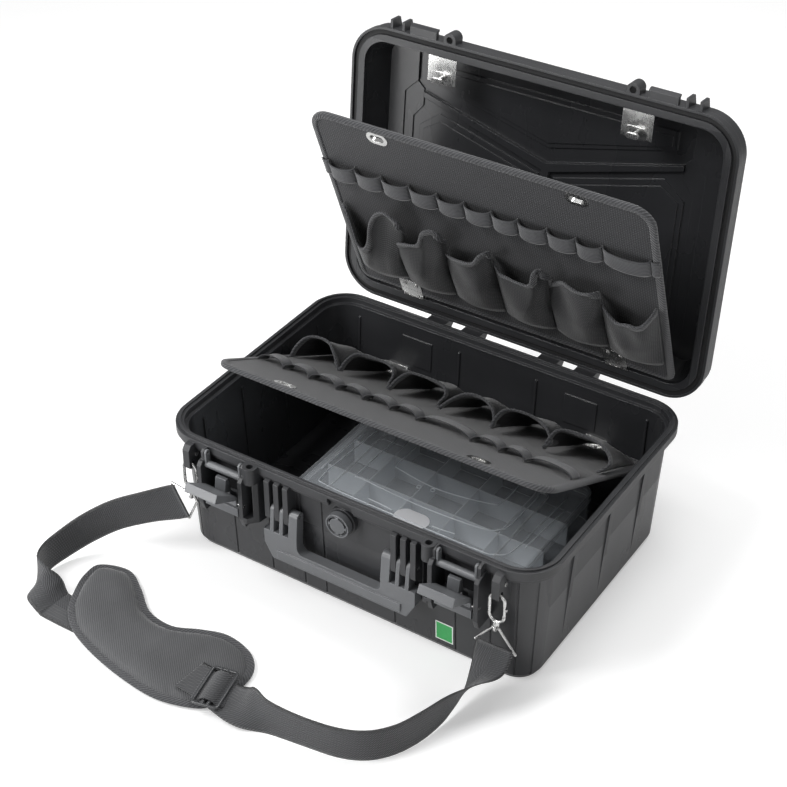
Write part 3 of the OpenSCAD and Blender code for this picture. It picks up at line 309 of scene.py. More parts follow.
class Region(Enum):
    """Which inner space of the case a shell's smoother finish covers."""

    NONE = "none"
    BASE = "base"
    LID = "lid"


@dataclass(frozen=True)
class Finish:
    """A named finish and the record's material slot that it belongs to."""

    name: str
    slot: str

    def build(self) -> bpy.types.Material:
        """Make the material, once for each name.

        Returns:
            The material.
        """
        title = f"{self.name}_finish"
        known = bpy.data.materials.get(title)
        return known or self.shade(Graph(bpy.data.materials.new(title)))

    def shade(self, graph: Graph) -> bpy.types.Material:
        """Fill in the node tree.

        Args:
            graph: Empty node tree of the material.

        Returns:
            The finished material.
        """
        raise NotImplementedError


@dataclass(frozen=True)
class MouldedPlastic(Finish):
    """Spark-eroded plastic: stippled outside, smoother inside, edges paler by wear and painted
    highlight.
    """

    colour: Colour = (0.02, 0.0205, 0.0225)
    roughness: float = 0.42
    stipple: float = 0.00012
    edge: float = 0.0012
    region: Region = Region.NONE
    cloud_scale: float = 7.0
    grain_scale: float = 1400.0
    flow_scale: float = 26.0
    scratch_limit: float = 0.69

    def _inside(self, graph: Graph, place: bpy.types.NodeSocket) -> Signal | float:
        """Find the inner faces of the shell.

        Args:
            graph: Node tree of the material.
            place: Position in the row frame.

        Returns:
            1 inside the shell and 0 outside it.
        """
        if self.region is Region.NONE:
            return 0.0
        if self.region is Region.LID:
            place = graph.turned(place, CaseSizes.lid_open, CaseSizes.lid_axis)
        x, y, z = graph.split(place)
        if self.region is Region.LID:
            half_x, half_y, ceiling = CaseSizes.lid_inner
            return (abs(x) < half_x) * (abs(y) < half_y) * (z < ceiling)
        half_x, half_y, floor = CaseSizes.base_inner
        return (abs(x) < half_x) * (abs(y) < half_y) * (z > floor)

    def shade(self, graph: Graph) -> bpy.types.Material:
        """Fill in the node tree.

        Args:
            graph: Empty node tree of the material.

        Returns:
            The finished material.
        """
        place = graph.place()
        inside = self._inside(graph, place)
        rounded = graph.rounded_normal(self.edge)
        edge_wear_and_highlight = graph.edges(rounded)
        cloud = graph.noise(place, self.cloud_scale, 4.0)
        grain = graph.noise(place, self.grain_scale, 2.0)
        flow = graph.noise(graph.stretched(place, (1.0, 1.0, 0.25)), self.flow_scale, 3.0)
        scratches = graph.noise(graph.stretched(place, (40.0, 6.0, 260.0)), 3.0, 2.0)
        marks = (scratches > self.scratch_limit) * 0.35
        # Paler edges in the colour: partly rubbed wear, partly a painted highlight where the edges
        # catch the light
        tint = (cloud * 0.5 + flow * 0.25 + edge_wear_and_highlight * 0.8 + marks * 0.25).clamped()
        dark = tuple(c * 0.82 for c in self.colour)
        pale = tuple(min(1.0, c * 2.3 + 0.012) for c in self.colour)
        rough = (cloud - 0.5) * 0.16 + (flow - 0.5) * 0.1 + self.roughness - edge_wear_and_highlight * 0.08
        height = grain
        if self.region is not Region.NONE:
            rough = rough - inside * 0.14
            height = grain * (1.0 - inside * 0.75)
        inputs = {
            "Base Color": graph.mixed(tint, dark, pale),
            "Roughness": rough.clamped(),
            "Specular IOR Level": 0.55,
            "Normal": graph.bump(height, self.stipple, rounded),
        }
        return graph.finish(inputs)


@dataclass(frozen=True)
class PlatedSteel(Finish):
    """Nickel-plated steel with fine handling marks."""

    colour: Colour = (0.80, 0.80, 0.79)
    roughness: float = 0.24
    cloud_scale: float = 60.0
    edge: float = 0.0005

    def shade(self, graph: Graph) -> bpy.types.Material:
        """Fill in the node tree.

        Args:
            graph: Empty node tree of the material.

        Returns:
            The finished material.
        """
        place = graph.place()
        cloud = graph.noise(place, self.cloud_scale, 3.0)
        lines = graph.noise(graph.stretched(place, (900.0, 60.0, 60.0)), 1.0, 2.0)
        rounded = graph.rounded_normal(self.edge)
        dull = tuple(c * 0.72 for c in self.colour)
        inputs = {
            "Base Color": graph.mixed(cloud, dull, self.colour),
            "Metallic": 1.0,
            "Roughness": (cloud * 0.16 + lines * 0.08 + self.roughness - 0.1).clamped(),
            "Normal": graph.bump(lines, 0.00003, rounded),
        }
        return graph.finish(inputs)


@dataclass(frozen=True)
class Rubber(Finish):
    """Soft black sealing rubber."""

    low: Colour = (0.010, 0.010, 0.011)
    high: Colour = (0.024, 0.024, 0.025)
    cloud_scale: float = 90.0
    grain_scale: float = 700.0

    def shade(self, graph: Graph) -> bpy.types.Material:
        """Fill in the node tree.

        Args:
            graph: Empty node tree of the material.

        Returns:
            The finished material.
        """
        place = graph.place()
        cloud = graph.noise(place, self.cloud_scale, 3.0)
        inputs = {
            "Base Color": graph.mixed(cloud, self.low, self.high),
            "Roughness": cloud * 0.2 + 0.6,
            "Normal": graph.bump(graph.noise(place, self.grain_scale), 0.00008),
        }
        return graph.finish(inputs)


class Weave(Enum):
    """How the threads of a cloth cross."""

    BALLISTIC = "ballistic"
    TWILL = "twill"
    ELASTIC = "elastic"
    WEBBING = "webbing"


@dataclass(frozen=True)
class Cloth(Finish):
    """Woven nylon. The weave lies in the cloth's own plane."""

    colour: Colour = (0.016, 0.0165, 0.019)
    weave: Weave = Weave.BALLISTIC
    pitch: float = 0.0028
    depth: float = 0.00035
    roughness: float = 0.6
    sheen: float = 0.3
    tilt: float | None = None
    cloud_scale: float = 22.0
    fuzz_scale: float = 1600.0

    def _threads(self, graph: Graph, across: Signal, along: Signal) -> Signal:
        """Weave the threads.

        Args:
            graph: Node tree of the material; not used.
            across: Place across the cloth, in metres.
            along: Place along the cloth, in metres.

        Returns:
            The height of the threads, 0 to 1.
        """
        pitch = self.pitch
        if self.weave is Weave.TWILL:
            return (across + along).wave(pitch) * ((across - along).wave(pitch * 0.5) * 0.3 + 0.7)
        if self.weave is Weave.ELASTIC:
            return along.wave(pitch) * (across.wave(pitch * 0.6) * 0.25 + 0.75)
        if self.weave is Weave.WEBBING:
            return (abs(across) + along).wave(pitch) * (across.wave(pitch * 1.2) * 0.4 + 0.6)
        return across.wave(pitch) * along.wave(pitch) + (across + along).wave(pitch) * 0.35

    def shade(self, graph: Graph) -> bpy.types.Material:
        """Fill in the node tree.

        Args:
            graph: Empty node tree of the material.

        Returns:
            The finished material.
        """
        if self.tilt is None:
            place = graph.cloth_place()
        else:
            place = graph.turned(graph.place(), self.tilt, (0.0, 0.0, 0.0))
        across, along, _ = graph.split(place)
        threads = self._threads(graph, across, along)
        body = graph.place()
        cloud = graph.noise(body, self.cloud_scale, 3.0)
        fuzz = graph.noise(body, self.fuzz_scale, 2.0)
        low = tuple(c * 0.55 for c in self.colour)
        high = tuple(min(1.0, c * 1.9) for c in self.colour)
        tint = (threads * 0.6 + cloud * 0.35 + fuzz * 0.15 - 0.05).clamped()
        inputs = {
            "Base Color": graph.mixed(tint, low, high),
            "Roughness": (cloud * 0.12 + fuzz * 0.1 + self.roughness - 0.1).clamped(),
            "Sheen Weight": self.sheen,
            "Sheen Roughness": 0.45,
            "Specular IOR Level": 0.35,
            "Normal": graph.bump(threads + fuzz * 0.3, self.depth),
        }
        return graph.finish(inputs)


@dataclass(frozen=True)
class ClearPlastic(Finish):
    """Milky, slightly blue see-through plastic, whiter and more opaque on its edges as a painted
    highlight.
    """

    alpha: float = 0.28
    colour: Colour = (0.90, 0.95, 1.0)
    edge: float = 0.0009
    cloud_scale: float = 18.0
    ripple_scale: float = 260.0

    def shade(self, graph: Graph) -> bpy.types.Material:
        """Fill in the node tree.

        Args:
            graph: Empty node tree of the material.

        Returns:
            The finished material.
        """
        place = graph.place()
        rounded = graph.rounded_normal(self.edge)
        # The edges are painted whiter and more opaque: a painted highlight where they catch the
        # light
        rim = graph.edges(rounded)
        cloud = graph.noise(place, self.cloud_scale, 3.0)
        inputs = {
            "Base Color": graph.mixed(rim, self.colour, WHITE),
            "Roughness": cloud * 0.15 + 0.24,
            "Alpha": (rim * 0.8 + cloud * 0.08 + self.alpha - 0.04).clamped(),
            "Coat Weight": 0.4,
            "Normal": graph.bump(graph.noise(place, self.ripple_scale), 0.00004, rounded),
        }
        return graph.finish(inputs)


@dataclass(frozen=True)
class PaperLabel(Finish):
    """Plain coated paper with a slightly darker border."""

    colour: Colour = (0.9, 0.9, 0.9)
    border: Colour = (0.8, 0.8, 0.8)
    centre: Point = (0.0, 0.0, 0.0)
    half: Point = (1.0, 1.0, 1.0)
    cloud_scale: float = 300.0

    def shade(self, graph: Graph) -> bpy.types.Material:
        """Fill in the node tree.

        Args:
            graph: Empty node tree of the material.

        Returns:
            The finished material.
        """
        place = graph.place()
        x, _, z = graph.split(place)
        frame = (abs(x - self.centre[0]) > self.half[0]) + (abs(z - self.centre[2]) > self.half[2])
        cloud = graph.noise(place, self.cloud_scale, 2.0)
        inputs = {
            "Base Color": graph.mixed(frame.clamped(), self.colour, self.border),
            "Roughness": cloud * 0.2 + 0.35,
            "Normal": graph.bump(cloud, 0.00003),
        }
        return graph.finish(inputs)


# ---------------------------------------------------------------------------
# Sizes of the case
# ---------------------------------------------------------------------------


class CaseSizes:
    """Sizes that several sub-assemblies share."""

    lid_open: float = 95.0
    lid_axis: Point = (0.0, 0.204, 0.174)
    panel_pivot_y: float = 0.172
    lid_pivot_z: float = 0.1865
    base_pivot_z: float = 0.100
    lid_panel_lean: float = 26.4
    base_panel_lift: float = 28.0
    lid_inner: Point = (0.2585, 0.1785, 0.2405)
    base_inner: Point = (0.2625, 0.1825, 0.003)

    @classmethod
    def opened(cls) -> Matrix:
        """Return the move from the shut lid to the open one."""
        axis = Matrix.Translation(cls.lid_axis)
        return axis @ Matrix.Rotation(-math.radians(cls.lid_open), 4, "X") @ axis.inverted()

    @classmethod
    def lid_panel(cls) -> Matrix:
        """Place the lid's panel.

        Returns:
            The move from its drawing, flat with its pockets up, to its place.
        """
        pivot = Matrix.Translation((0.0, cls.panel_pivot_y, cls.lid_pivot_z))
        lean = Matrix.Rotation(math.radians(cls.lid_panel_lean), 4, "X")
        return cls.opened() @ pivot @ lean @ Matrix.Rotation(math.pi, 4, "Y")

    @classmethod
    def base_panel(cls) -> Matrix:
        """Return the place of the base's panel, which is drawn flat with its pockets up."""
        pivot = Matrix.Translation((0.0, cls.panel_pivot_y, cls.base_pivot_z))
        return pivot @ Matrix.Rotation(-math.radians(cls.base_panel_lift), 4, "X")


# ---------------------------------------------------------------------------
# Mesh building
# ---------------------------------------------------------------------------


def placed(name: str, data: bpy.types.ID) -> bpy.types.Object:
    """Put a new object into the scene.

    Args:
        name: Name of the object.
        data: Its mesh, lamp or camera.

    Returns:
        The new object.
    """
    made = bpy.data.objects.new(name, data)
    bpy.context.scene.collection.objects.link(made)
    return made


def smoothed(mesh: bpy.types.Mesh) -> bpy.types.Mesh:
    """Return the mesh with every face shaded smooth."""
    mesh.polygons.foreach_set("use_smooth", [True] * len(mesh.polygons))
    return mesh


def measured(path: Sequence[Vector]) -> list[float]:
    """Measure a path.

    Args:
        path: The points of an open path.

    Returns:
        How far along the path each point lies.
    """
    runs = [0.0]
    for a, b in zip(path, path[1:]):
        runs.append(runs[-1] + (b - a).length)
    return runs


def heading(path: Sequence[Vector], i: int) -> Vector:
    """Return the way from the point before to the point after, on an open path."""
    return path[min(i + 1, len(path) - 1)] - path[max(i - 1, 0)]


def smooth_path(
    points: Sequence[Sequence[float]], steps: int, closed: bool = False
) -> list[Vector]:
    """Return a Catmull-Rom curve through the points.

    Args:
        points: The points to pass through.
        steps: Pieces made of each stretch.
        closed: Whether the last point joins the first.

    Returns:
        The finer list of points.
    """
    given = [Vector(p) for p in points]
    count = len(given)
    path = []
    for i in range(count if closed else count - 1):
        if closed:
            a, b, c, d = (given[(i + k) % count] for k in (-1, 0, 1, 2))
        else:
            a, b = given[max(i - 1, 0)], given[i]
            c, d = given[i + 1], given[min(i + 2, count - 1)]
        for step in range(steps):
            t = step / steps
            path.append(
                0.5 * (2 * b + (c - a) * t + (2 * a - 5 * b + 4 * c - d) * t * t
                       + (3 * b - a - 3 * c + d) * t * t * t)
            )
    if not closed:
        path.append(given[-1])
    return path


@dataclass
class Sheet:
    """A grid of points that becomes one mesh with the cloth's own coordinates."""

    rows: list[list[Vector]]
    coords: list[list[tuple[float, float]]]
    loop_rows: bool = False
    loop_columns: bool = False

    def mesh(self, name: str) -> bpy.types.Mesh:
        """Return the grid as a smooth mesh.

        Args:
            name: Name of the mesh.

        Returns:
            The new mesh, with its coordinates in its UV layer.
        """
        tall, wide = len(self.rows), len(self.rows[0])
        points = [p for row in self.rows for p in row]
        flat = [c for row in self.coords for c in row]
        faces = []
        for i in range(tall if self.loop_rows else tall - 1):
            for j in range(wide if self.loop_columns else wide - 1):
                i2, j2 = (i + 1) % tall, (j + 1) % wide
                faces.append((i * wide + j, i * wide + j2, i2 * wide + j2, i2 * wide + j))
        made = bpy.data.meshes.new(name)
        made.from_pydata(points, [], faces)
        layer = made.uv_layers.new(name="cloth")
        for corner in made.loops:
            layer.data[corner.index].uv = flat[corner.vertex_index]
        made.update()
        return smoothed(made)


def joined(name: str, meshes: Sequence[bpy.types.Mesh]) -> bpy.types.Mesh:
    """Join several meshes.

    Args:
        name: Name of the new mesh.
        meshes: The meshes, which are dropped.

    Returns:
        The one mesh of them all.
    """
    work = bmesh.new()
    for part in meshes:
        work.from_mesh(part)
    made = bpy.data.meshes.new(name)
    work.to_mesh(made)
    work.free()
    for part in meshes:
        bpy.data.meshes.remove(part)
    return made


def swept(
    name: str, path: Sequence[Vector], sides: Sequence[Vector], ups: Sequence[Vector],
    profile: Sequence[tuple[float, float]], closed: bool = False,
) -> bpy.types.Mesh:
    """Return a profile carried along a path.

    Args:
        name: Name of the mesh.
        path: Points of the path.
        sides: Direction of the profile's first coordinate at each point.
        ups: Direction of the profile's second coordinate at each point.
        profile: Closed outline of the section.
        closed: Whether the path is a ring.

    Returns:
        The mesh, with the girth and the length as its cloth coordinates.
    """
    girth = [0.0]
    for (u0, v0), (u1, v1) in zip(profile, [*profile[1:], profile[0]]):
        girth.append(girth[-1] + math.hypot(u1 - u0, v1 - v0))
    rows, coords = [], []
    for point, side, up, run in zip(path, sides, ups, measured(path)):
        rows.append([point + side * u + up * v for u, v in profile])
        coords.append([(g, run) for g in girth[:-1]])
    made = Sheet(rows, coords, loop_rows=closed, loop_columns=True).mesh(name)
    if not closed:
        work = bmesh.new()
        work.from_mesh(made)
        bmesh.ops.holes_fill(work, edges=[e for e in work.edges if e.is_boundary], sides=0)
        work.to_mesh(made)
        work.free()
    return made


def ring_frames(path: Sequence[Vector], up: Vector) -> tuple[list[Vector], list[Vector]]:
    """Find the directions along a closed flat path.

    Args:
        path: Points of the path, counterclockwise for inward to hold.
        up: Direction off its plane.

    Returns:
        The inward and the upward direction at each point.
    """
    count = len(path)
    sides, ups = [], []
    for i in range(count):
        along = (path[(i + 1) % count] - path[i - 1]).normalized()
        sides.append(up.cross(along).normalized())
        ups.append(up.copy())
    return sides, ups


def line_frames(path: Sequence[Vector], up: Vector) -> tuple[list[Vector], list[Vector]]:
    """Return the sideways and upward directions along an open path."""
    sides = [up.cross(heading(path, i)).normalized() for i in range(len(path))]
    return sides, [up.copy() for _ in path]


def oval(wide: float, high: float, count: int = 12) -> list[tuple[float, float]]:
    """Return the outline of an oval section."""
    turns = [math.tau * k / count for k in range(count)]
    return [(wide * math.cos(a), high * math.sin(a)) for a in turns]


def stitches(
    name: str, path: Sequence[Vector], up: Sequence[Vector], length: float = 0.0034,
    gap: float = 0.0016, thick: float = 0.0007,
) -> bpy.types.Mesh:
    """Return a row of thread stitches that lies on a surface.

    Args:
        name: Name of the mesh.
        path: Points of the seam.
        up: Surface direction at each point.
        length: Length of a stitch.
        gap: Gap between stitches.
        thick: Thickness of the thread.

    Returns:
        The mesh of small spindles.
    """
    points, faces, due = [], [], 0.0
    for a, b, n in zip(path, path[1:], up):
        span = (b - a).length
        along = (b - a) / max(span, TINY)
        side = n.cross(along).normalized()
        while due < span:
            centre = a + along * due
            base = len(points)
            points += [
                centre - along * length / 2, centre + side * thick / 2 + n * thick * 0.2,
                centre + n * thick * 0.7, centre - side * thick / 2 + n * thick * 0.2,
                centre + along * length / 2, centre - n * thick * 0.5,
            ]
            for j in ((1, 2), (2, 3), (3, 5), (5, 1)):
                faces.append((base, base + j[0], base + j[1]))
                faces.append((base + 4, base + j[1], base + j[0]))
            due += length + gap
        due -= span
    made = bpy.data.meshes.new(name)
    made.from_pydata(points, [], faces)
    made.update()
    return made


def rounded_outline(
    half_width: float, near: float, far: float, near_radius: float, far_radius: float,
    inset: float = 0.0, step: float = 0.006,
) -> list[Vector]:
    """Return the outline of a panel with rounded corners, evenly stepped.

    Args:
        half_width: Half of the width.
        near: Distance of the hinge edge from the hinge line.
        far: Distance of the free edge from the hinge line.
        near_radius: Corner radius at the hinge edge.
        far_radius: Corner radius at the free edge.
        inset: How far the outline is drawn in.
        step: Distance between points.

    Returns:
        The points, counterclockwise.
    """
    w, y0, y1 = half_width - inset, -near - inset, -far + inset
    r0, r1 = max(near_radius - inset, 0.001), max(far_radius - inset, 0.001)
    corners = [
        (w - r0, y0 - r0, r0, 0.0), (-w + r0, y0 - r0, r0, 90.0),
        (-w + r1, y1 + r1, r1, 180.0), (w - r1, y1 + r1, r1, 270.0),
    ]
    outline: list[Vector] = []
    for x, y, r, start in corners:
        turns = max(3, int(r * math.pi / 2 / step))
        for k in range(turns + 1):
            a = math.radians(start + 90.0 * k / turns)
            outline.append(Vector((x + r * math.cos(a), y + r * math.sin(a), 0.0)))
    path: list[Vector] = []
    for a, b in zip(outline, [*outline[1:], outline[0]]):
        pieces = max(1, round((b - a).length / step))
        path += [a.lerp(b, k / pieces) for k in range(pieces)]
    return path


@dataclass(frozen=True)
class Piece:
    """Puts finished meshes into the scene as pieces of the case."""

    body: str
    finish: Finish

    def add(
        self, name: str, mesh: bpy.types.Mesh, stands_for: Sequence[str] = (),
        place: Matrix | None = None, thickness: float = 0.0, levels: int = 0,
        shaded_inside: Finish | None = None,
    ) -> bpy.types.Object:
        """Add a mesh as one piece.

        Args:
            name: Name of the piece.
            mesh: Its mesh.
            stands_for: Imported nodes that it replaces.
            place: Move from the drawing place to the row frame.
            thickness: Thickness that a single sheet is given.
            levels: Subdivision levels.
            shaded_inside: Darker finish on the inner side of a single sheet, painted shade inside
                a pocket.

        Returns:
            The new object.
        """
        if place is not None:
            mesh.transform(place)
        mesh.materials.clear()
        mesh.materials.append(self.finish.build())
        made = placed(name, mesh)
        if thickness:
            solid = made.modifiers.new("thickness", "SOLIDIFY")
            solid.thickness, solid.offset = thickness, 0.0
            # A darker finish on the sheet's inner side paints the shade inside a pocket
            if shaded_inside is not None:
                mesh.materials.append(shaded_inside.build())
                solid.material_offset = 1
        if levels:
            divide = made.modifiers.new("smooth", "SUBSURF")
            divide.levels = divide.render_levels = levels
        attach(made, self.body)
        if stands_for:
            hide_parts(*stands_for)
        LOG.info("%s: %d faces on %s", name, len(mesh.polygons), self.body)
        return made


# ---------------------------------------------------------------------------
# Finishes of this case
# ---------------------------------------------------------------------------

BASE_PLASTIC = MouldedPlastic("base_plastic", "case_plastic", region=Region.BASE)
LID_PLASTIC = MouldedPlastic("lid_plastic", "case_plastic", region=Region.LID)
FITTING_PLASTIC = MouldedPlastic(
    "fitting_plastic", "fitting_plastic", colour=(0.085, 0.088, 0.093), roughness=0.36,
    stipple=0.00008, edge=0.0014,
)
SLIDER_PLASTIC = MouldedPlastic(
    "slider_plastic", "fitting_plastic", colour=(0.03, 0.031, 0.033), roughness=0.3,
    stipple=0.00004, edge=0.0008,
)
STEEL = PlatedSteel("plated_steel", "steel")
RUBBER = Rubber("seal_rubber", "seal_rubber")
CLEAR = ClearPlastic("clear_plastic", "clear_plastic", alpha=0.2)
RELIEF_CLEAR = ClearPlastic("relief_plastic", "clear_plastic", alpha=0.6)
DIVIDER_CLEAR = ClearPlastic("divider_plastic", "clear_plastic", alpha=0.7)
LID_BOARD = Cloth(
    "lid_board_cloth", "panel_cloth", tilt=CaseSizes.lid_open - CaseSizes.lid_panel_lean,
    pitch=0.0032,
)
BASE_BOARD = Cloth(
    "base_board_cloth", "panel_cloth", tilt=CaseSizes.base_panel_lift, pitch=0.0032,
)
POCKET_CLOTH = Cloth("pocket_cloth", "panel_cloth", colour=(0.011, 0.0115, 0.013), pitch=0.003)
# Near-black inner face of the pocket cloth: painted shade inside the pockets, on the same cloth as
# outside
POCKET_SHADE = Cloth("pocket_inside_shade", "panel_cloth", colour=(0.007, 0.007, 0.008), sheen=0.1)
TAPE = Cloth(
    "binding_tape", "binding_tape", colour=(0.05, 0.051, 0.055), weave=Weave.TWILL,
    pitch=0.005, depth=0.0009, roughness=0.62,
)
ELASTIC = Cloth(
    "elastic_band", "binding_tape", colour=(0.05, 0.051, 0.055), weave=Weave.ELASTIC,
    pitch=0.0026, depth=0.0004,
)
WEBBING = Cloth(
    "strap_webbing", "webbing", colour=(0.046, 0.047, 0.05), weave=Weave.WEBBING,
    pitch=0.0034, depth=0.0006, roughness=0.66,
)
PAD_CLOTH = Cloth(
    "pad_cloth", "pad_cloth", colour=(0.06, 0.061, 0.064), weave=Weave.TWILL, pitch=0.0036,
    depth=0.0003, roughness=0.62, tilt=0.0,
)
THREAD = Cloth(
    "sewing_thread", "binding_tape", colour=(0.06, 0.06, 0.063), pitch=0.0009, depth=0.0001,
    tilt=0.0,
)
GREEN_LABEL = PaperLabel(
    "green_label", "green_label", colour=(0.045, 0.36, 0.10), border=(0.80, 0.84, 0.80),
    centre=(0.1395, 0.0, 0.031), half=(0.0112, 1.0, 0.0135),
)
WHITE_LABEL = PaperLabel("white_label", "white_label", colour=(0.86, 0.87, 0.9))


@dataclass
class PackedPieces:
    """The moulded and metal nodes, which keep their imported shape."""

    nodes: Mapping[str, bpy.types.Object]
    finishes: Mapping[str, Finish] = field(default_factory=lambda: {
        "base_shell": BASE_PLASTIC,
        "lid_shell": LID_PLASTIC,
        "organizer_dividers": DIVIDER_CLEAR,
        "lid_panel_board": LID_BOARD,
        "base_panel_board": BASE_BOARD,
    })
    by_slot: Mapping[str, Finish] = field(default_factory=lambda: {
        "case_plastic": BASE_PLASTIC,
        "fitting_plastic": FITTING_PLASTIC,
        "steel": STEEL,
        "seal_rubber": RUBBER,
        "panel_cloth": POCKET_CLOTH,
        "binding_tape": TAPE,
        "webbing": WEBBING,
        "pad_cloth": PAD_CLOTH,
        "clear_plastic": CLEAR,
        "green_label": GREEN_LABEL,
        "white_label": WHITE_LABEL,
    })

    def dress(self, record: Mapping[str, Any]) -> None:
        """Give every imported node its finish.

        Args:
            record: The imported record, which names each node's material slot.
        """
        slots = {part["node"]: part["material_slot"] for part in record["subparts"]}
        for name, node in self.nodes.items():
            finish = self.finishes.get(name) or self.by_slot[slots[name]]
            node.data.materials.clear()
            node.data.materials.append(finish.build())
            LOG.info("%s wears %s", name, finish.name)


# ---------------------------------------------------------------------------
# Tool panels
# ---------------------------------------------------------------------------


@dataclass
class Pocket:
    """One sewn pocket.

    Its mouth is given in millimetres by points across the panel, from the free edge and above
    the board; its bottom seam runs between the two places left and right.
    """

    mouth: Sequence[Point]
    left: float
    right: float

    def line(self) -> list[Vector]:
        """Draw the smooth line of the mouth, evenly stepped.

        Returns:
            The points of the line, in metres.
        """
        curve = smooth_path(self.mouth, 6)
        runs = measured(curve)
        even, k = [], 0
        for i in range(MOUTH_STEPS + 1):
            want = runs[-1] * i / MOUTH_STEPS
            while k < len(runs) - 2 and runs[k + 1] < want:
                k += 1
            share = (want - runs[k]) / max(runs[k + 1] - runs[k], TINY)
            even.append(curve[k].lerp(curve[k + 1], min(share, 1.0)) * MM)
        return even


@dataclass
class ToolPanel:
    """A bound board with its row of elastic loops and its sewn pockets.

    Attributes:
        seams: Where the elastic is sewn down, as pairs across the panel.
        hinge_gap: Gap between the hinge line and the board's near edge.
        band_near: Distance of the elastic from the free edge.
        loop_rise: The most that a loop stands up.
        loop_share: The most that it stands up, as a share of its length.
        widest_loop: Length from which a stretch of elastic lies flat.
        twin: Half of the gap between the two rows of stitches that hold a loop.
        bottom: Distance of the pockets' bottom seam from the free edge.
        binding: Thickness of the tape over the board's edge.
        elastic: Thickness of the elastic.
        cloth: Thickness of the pocket cloth.
        tail: How far a pocket stands off the board at its bottom.
        fold: Share by which the pocket cloth waves.
    """

    name: str
    body: str
    place: Matrix
    pockets: Sequence[Pocket]
    seams: Sequence[tuple[float, float]]
    width: float = 0.484
    length: float = 0.338
    board: float = 0.005
    hinge_gap: float = 0.006
    near_radius: float = 0.014
    far_radius: float = 0.030
    band_near: float = 0.088
    band_width: float = 0.026
    loop_rise: float = 0.0105
    loop_share: float = 0.32
    widest_loop: float = 0.085
    twin: float = 0.0012
    bottom: float = 0.296
    binding: float = 0.0011
    elastic: float = 0.0013
    cloth: float = 0.0014
    tail: float = 0.010
    fold: float = 0.07

    def build(self) -> None:
        """Build the binding, the loops and the pockets."""
        self._binding()
        self._loops()
        self._pocket_bank()

    def _binding(self) -> None:
        """Fold a tape round the edge of the board and stitch it down."""
        path = rounded_outline(
            self.width / 2, self.hinge_gap, self.length, self.near_radius, self.far_radius
        )
        sides, ups = ring_frames(path, UP)
        top = self.board / 2 + self.binding
        profile = [
            (0.0088, top - 0.0011), (0.0086, top - 0.0002), (0.0060, top + 0.0001),
            (0.0030, top), (0.0012, top * 0.86), (0.0003, top * 0.5), (0.0, 0.0),
            (0.0003, -top * 0.5), (0.0012, -top * 0.86), (0.0030, -top),
            (0.0086, -top + 0.0002), (0.0088, -top + 0.0011),
        ]
        mesh = swept(f"{self.name}_binding", path, sides, ups, profile, closed=True)
        piece = Piece(self.body, TAPE)
        piece.add(f"{self.name}_tape", mesh, [f"{self.name}_binding"], self.place)
        seam = [p + s * 0.0070 + UP * top for p, s in zip(path, sides)]
        row = stitches(f"{self.name}_seam", seam, ups, length=0.003)
        Piece(self.body, THREAD).add(f"{self.name}_edge_stitches", row, (), self.place)

    def _from_edge(self, distance: float) -> float:
        """Return the Y of a line that far from the free edge."""
        return -self.length + distance

    def _loops(self) -> None:
        """Run one elastic band across the board, standing up between its seams."""
        base = self.board / 2 + 0.0009
        line: list[Vector] = []
        seams: list[float] = []
        for start, end in self.seams:
            seams += [start, end]
            standing = end - start < self.widest_loop
            rise = min(self.loop_rise, (end - start) * self.loop_share) if standing else 0.0
            for k in range(LOOP_STEPS + 1):
                t = k / LOOP_STEPS
                spread = 0.5 - 0.5 * math.cos(math.pi * t)
                x = start + (end - start) * (0.75 * spread + 0.25 * t)
                lift = math.sin(math.pi * t) ** 0.7 * rise
                line.append(Vector((x, 0.0, base + lift)))
        rows, coords = [], []
        for k in range(LOOP_ROWS + 1):
            share = k / LOOP_ROWS
            pull = 1.0 - 0.10 * math.sin(math.pi * share)
            y = self._from_edge(self.band_near + self.band_width * share)
            rows.append([Vector((p.x, y, base + (p.z - base) * pull)) for p in line])
            coords.append([(run, y) for run in measured(line)])
        mesh = Sheet(rows, coords).mesh(f"{self.name}_loops_mesh")
        piece = Piece(self.body, ELASTIC)
        piece.add(
            f"{self.name}_elastic", mesh, [f"{self.name}_loops"], self.place,
            thickness=self.elastic,
        )
        rows_of_thread = []
        for x in sorted(set(seams)):
            for shift in (-self.twin, self.twin):
                seam = []
                for k in range(LOOP_SEAM_STEPS + 1):
                    y = self._from_edge(self.band_near + self.band_width * k / LOOP_SEAM_STEPS)
                    seam.append(Vector((x + shift, y, base + 0.0010)))
                rows_of_thread.append(stitches("seam", seam, [UP] * len(seam), length=0.0026))
        threads = joined(f"{self.name}_loop_threads", rows_of_thread)
        Piece(self.body, THREAD).add(f"{self.name}_loop_stitches", threads, (), self.place)

    def _surface(self, pocket: Pocket, mouth: Sequence[Vector], j: int, v: float) -> Vector:
        """Return a point of a pocket's cloth.

        Args:
            pocket: The pocket.
            mouth: The line of its mouth.
            j: Step along the mouth.
            v: Share of the way from the mouth to the bottom seam.

        Returns:
            The point, in the flat panel's place.
        """
        t = j / MOUTH_STEPS
        top = mouth[j]
        foot = (pocket.left + (pocket.right - pocket.left) * t) * MM
        ease = v * v * (3.0 - 2.0 * v)
        x = top.x + (foot - top.x) * ease
        from_edge = top.y + (self.bottom - top.y) * v
        tail = self.tail * math.sin(math.pi * t) ** 0.6
        folds = 1.0 + self.fold * math.sin(11.0 * t + 6.0 * v + 40.0 * pocket.left * MM)
        lift = (top.z - 0.25 * tail) * (1.0 - v) ** 0.9 * folds + tail * min(1.0, 1.6 * v)
        if v == 0.0:
            lift = top.z
        return Vector((x, self._from_edge(from_edge), self.board / 2 + 0.0008 + lift))

